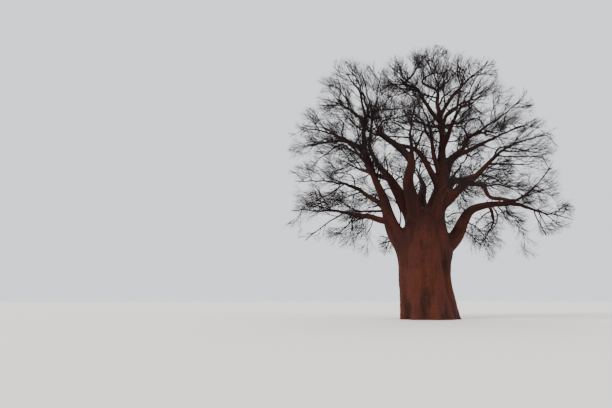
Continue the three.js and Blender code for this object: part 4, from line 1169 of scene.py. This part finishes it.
def floor_paint():
    """Matt pale studio floor."""
    paint = bpy.data.materials.new("studio_floor")
    paint.use_nodes = True
    shader = paint.node_tree.nodes["Principled BSDF"]
    shader.inputs["Base Color"].default_value = linear(FLOOR_PALE)
    shader.inputs["Roughness"].default_value = FLOOR_ROUGHNESS
    return paint


def joined(meshes, bark):
    """Several meshes as one, with one bark."""
    whole_mesh = bmesh.new()
    for mesh in meshes:
        whole_mesh.from_mesh(mesh)
        bpy.data.meshes.remove(mesh)
    mesh = bpy.data.meshes.new("joined")
    whole_mesh.to_mesh(mesh)
    whole_mesh.free()
    mesh.materials.append(bark)
    return mesh


def add_piece(name, mesh, nodes):
    """A finished mesh as a piece of the tree that stands for some solids."""
    mesh.name = name
    piece = bpy.data.objects.new(name, mesh)
    bpy.context.scene.collection.objects.link(piece)
    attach(piece, "root")
    if nodes:
        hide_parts(*nodes)


def set_camera():
    """The photograph's camera: eye height, far back on the left, tilted up."""
    lens = bpy.data.cameras.new("camera")
    lens.lens = LENS_MM
    lens.sensor_width = SENSOR_MM
    lens.clip_end = CLIP_END
    camera = bpy.data.objects.new("camera", lens)
    camera.location = CAMERA_PLACE
    camera.rotation_euler = (math.radians(90 + CAMERA_TILT), 0, 0)
    bpy.context.scene.collection.objects.link(camera)
    bpy.context.scene.camera = camera


def set_stage():
    """A pale floor, a plain pale backdrop light and three soft lamps, as a studio has."""
    mesh = bpy.data.meshes.new("floor")
    side = FLOOR_HALF_SIDE
    mesh.from_pydata([(-side, -side, FLOOR_Z), (side, -side, FLOOR_Z), (side, side, FLOOR_Z),
                      (-side, side, FLOOR_Z)], [], [(0, 1, 2, 3)])
    floor = bpy.data.objects.new("floor", mesh)
    mesh.materials.append(floor_paint())
    bpy.context.scene.collection.objects.link(floor)
    world = bpy.data.worlds.new("backdrop")
    bpy.context.scene.world = world
    world.use_nodes = True
    background = world.node_tree.nodes["Background"]
    background.inputs["Color"].default_value = linear(BACKDROP_PALE)
    background.inputs["Strength"].default_value = BACKDROP_STRENGTH
    for name, azimuth, elevation, strength, softness in STUDIO_LAMPS:
        light = bpy.data.lights.new(name, "SUN")
        light.energy = strength
        light.angle = math.radians(softness)
        lamp = bpy.data.objects.new(name, light)
        lamp.rotation_euler = (math.radians(90 - elevation), 0, math.radians(azimuth))
        bpy.context.scene.collection.objects.link(lamp)


set_camera()
set_stage()

# Limbs, and the space of each spray
routes = {}
for order, limb in enumerate(LIMBS, 1):
    routes[limb["name"]] = route_of(limb, order, routes)
all_routes = dict(routes)
for order, bough in enumerate(SIDE_BOUGHS, len(LIMBS) + 1):
    all_routes[bough["name"]] = route_of(bough, order, all_routes)
spindles = place_sprays(routes)
limb_pieces = [(route.points[:-1], np.diff(route.points, axis=0), route.radii[:-1], route.radii[1:])
               for route in routes.values()]
segments = tuple(np.concatenate(column) for column in zip(*limb_pieces))
space = (spindles, segments)

# Trunk and boughs in one bark, parted at a flat cut. Both pieces keep the whole skin's normals, so that the
# light runs on over the cut
tubes = rod_tree()
bark = living_bark()
skin = shaped(raw_skin(routes, tubes), relief_tree(), bark)
whole = skin.attributes.new("whole_normal", "FLOAT_VECTOR", "POINT")
normals = np.zeros(len(skin.vertices) * 3, np.float32)
skin.vertex_normals.foreach_get("vector", normals)
whole.data.foreach_set("vector", normals)
add_piece("trunk_skin", cut_piece(skin, "trunk_skin", 0, SKIN_CUT, bark), ["trunk"])
add_piece("bough_skin", cut_piece(skin, "bough_skin", SKIN_CUT, None, bark), list(routes))
bpy.data.meshes.remove(skin)

# Twigs, level by level, from the stems of the sprays and from the boughs themselves
levels = [grow_stems(spindles)]
for level in range(1, len(GROWTH["pieces"])):
    levels.append(bear_twigs(levels[-1], level, space))
    for boughs, rule in ((LIMBS, BOUGH_BRANCHES), (SIDE_BOUGHS, SIDE_BRANCHES)):
        if rule["level"] == level:
            levels[-1] = together(levels[-1], grow_branches(boughs, all_routes, rule, space))

# Side boughs, stems and first branches, in the older bark
branch_bark = twig_bark("branch_bark", BRANCH_BROWN)
side_chains = [(route.fine_points, route.fine_radii) for route in list(all_routes.values())[len(routes):]]
branches = [shaped(chains_mesh("side_boughs", side_chains), tubes, branch_bark, Sides=BENDS["sides"][0])]
for level, twigs in enumerate(levels[:FINE_LEVEL]):
    chains = twig_chains(twigs, np.ones(len(twigs.seeds), bool))
    branches.append(shaped(chains_mesh("branches", chains), tubes, branch_bark, Sides=BENDS["sides"][level]))
add_piece("branches", joined(branches, branch_bark), [])

# Fine twigs, each tint apart
for name, owners, colour in TWIG_KINDS:
    bark = twig_bark(name + "_bark", colour)
    meshes = []
    for level in range(FINE_LEVEL, len(levels)):
        chains = twig_chains(levels[level], np.isin(levels[level].owners, list(owners)))
        meshes.append(shaped(chains_mesh(name, chains), tubes, bark, Sides=BENDS["sides"][level]))
    add_piece(name, joined(meshes, bark), [SPRAYS[k]["name"] for k in owners if k < len(SPRAYS)])
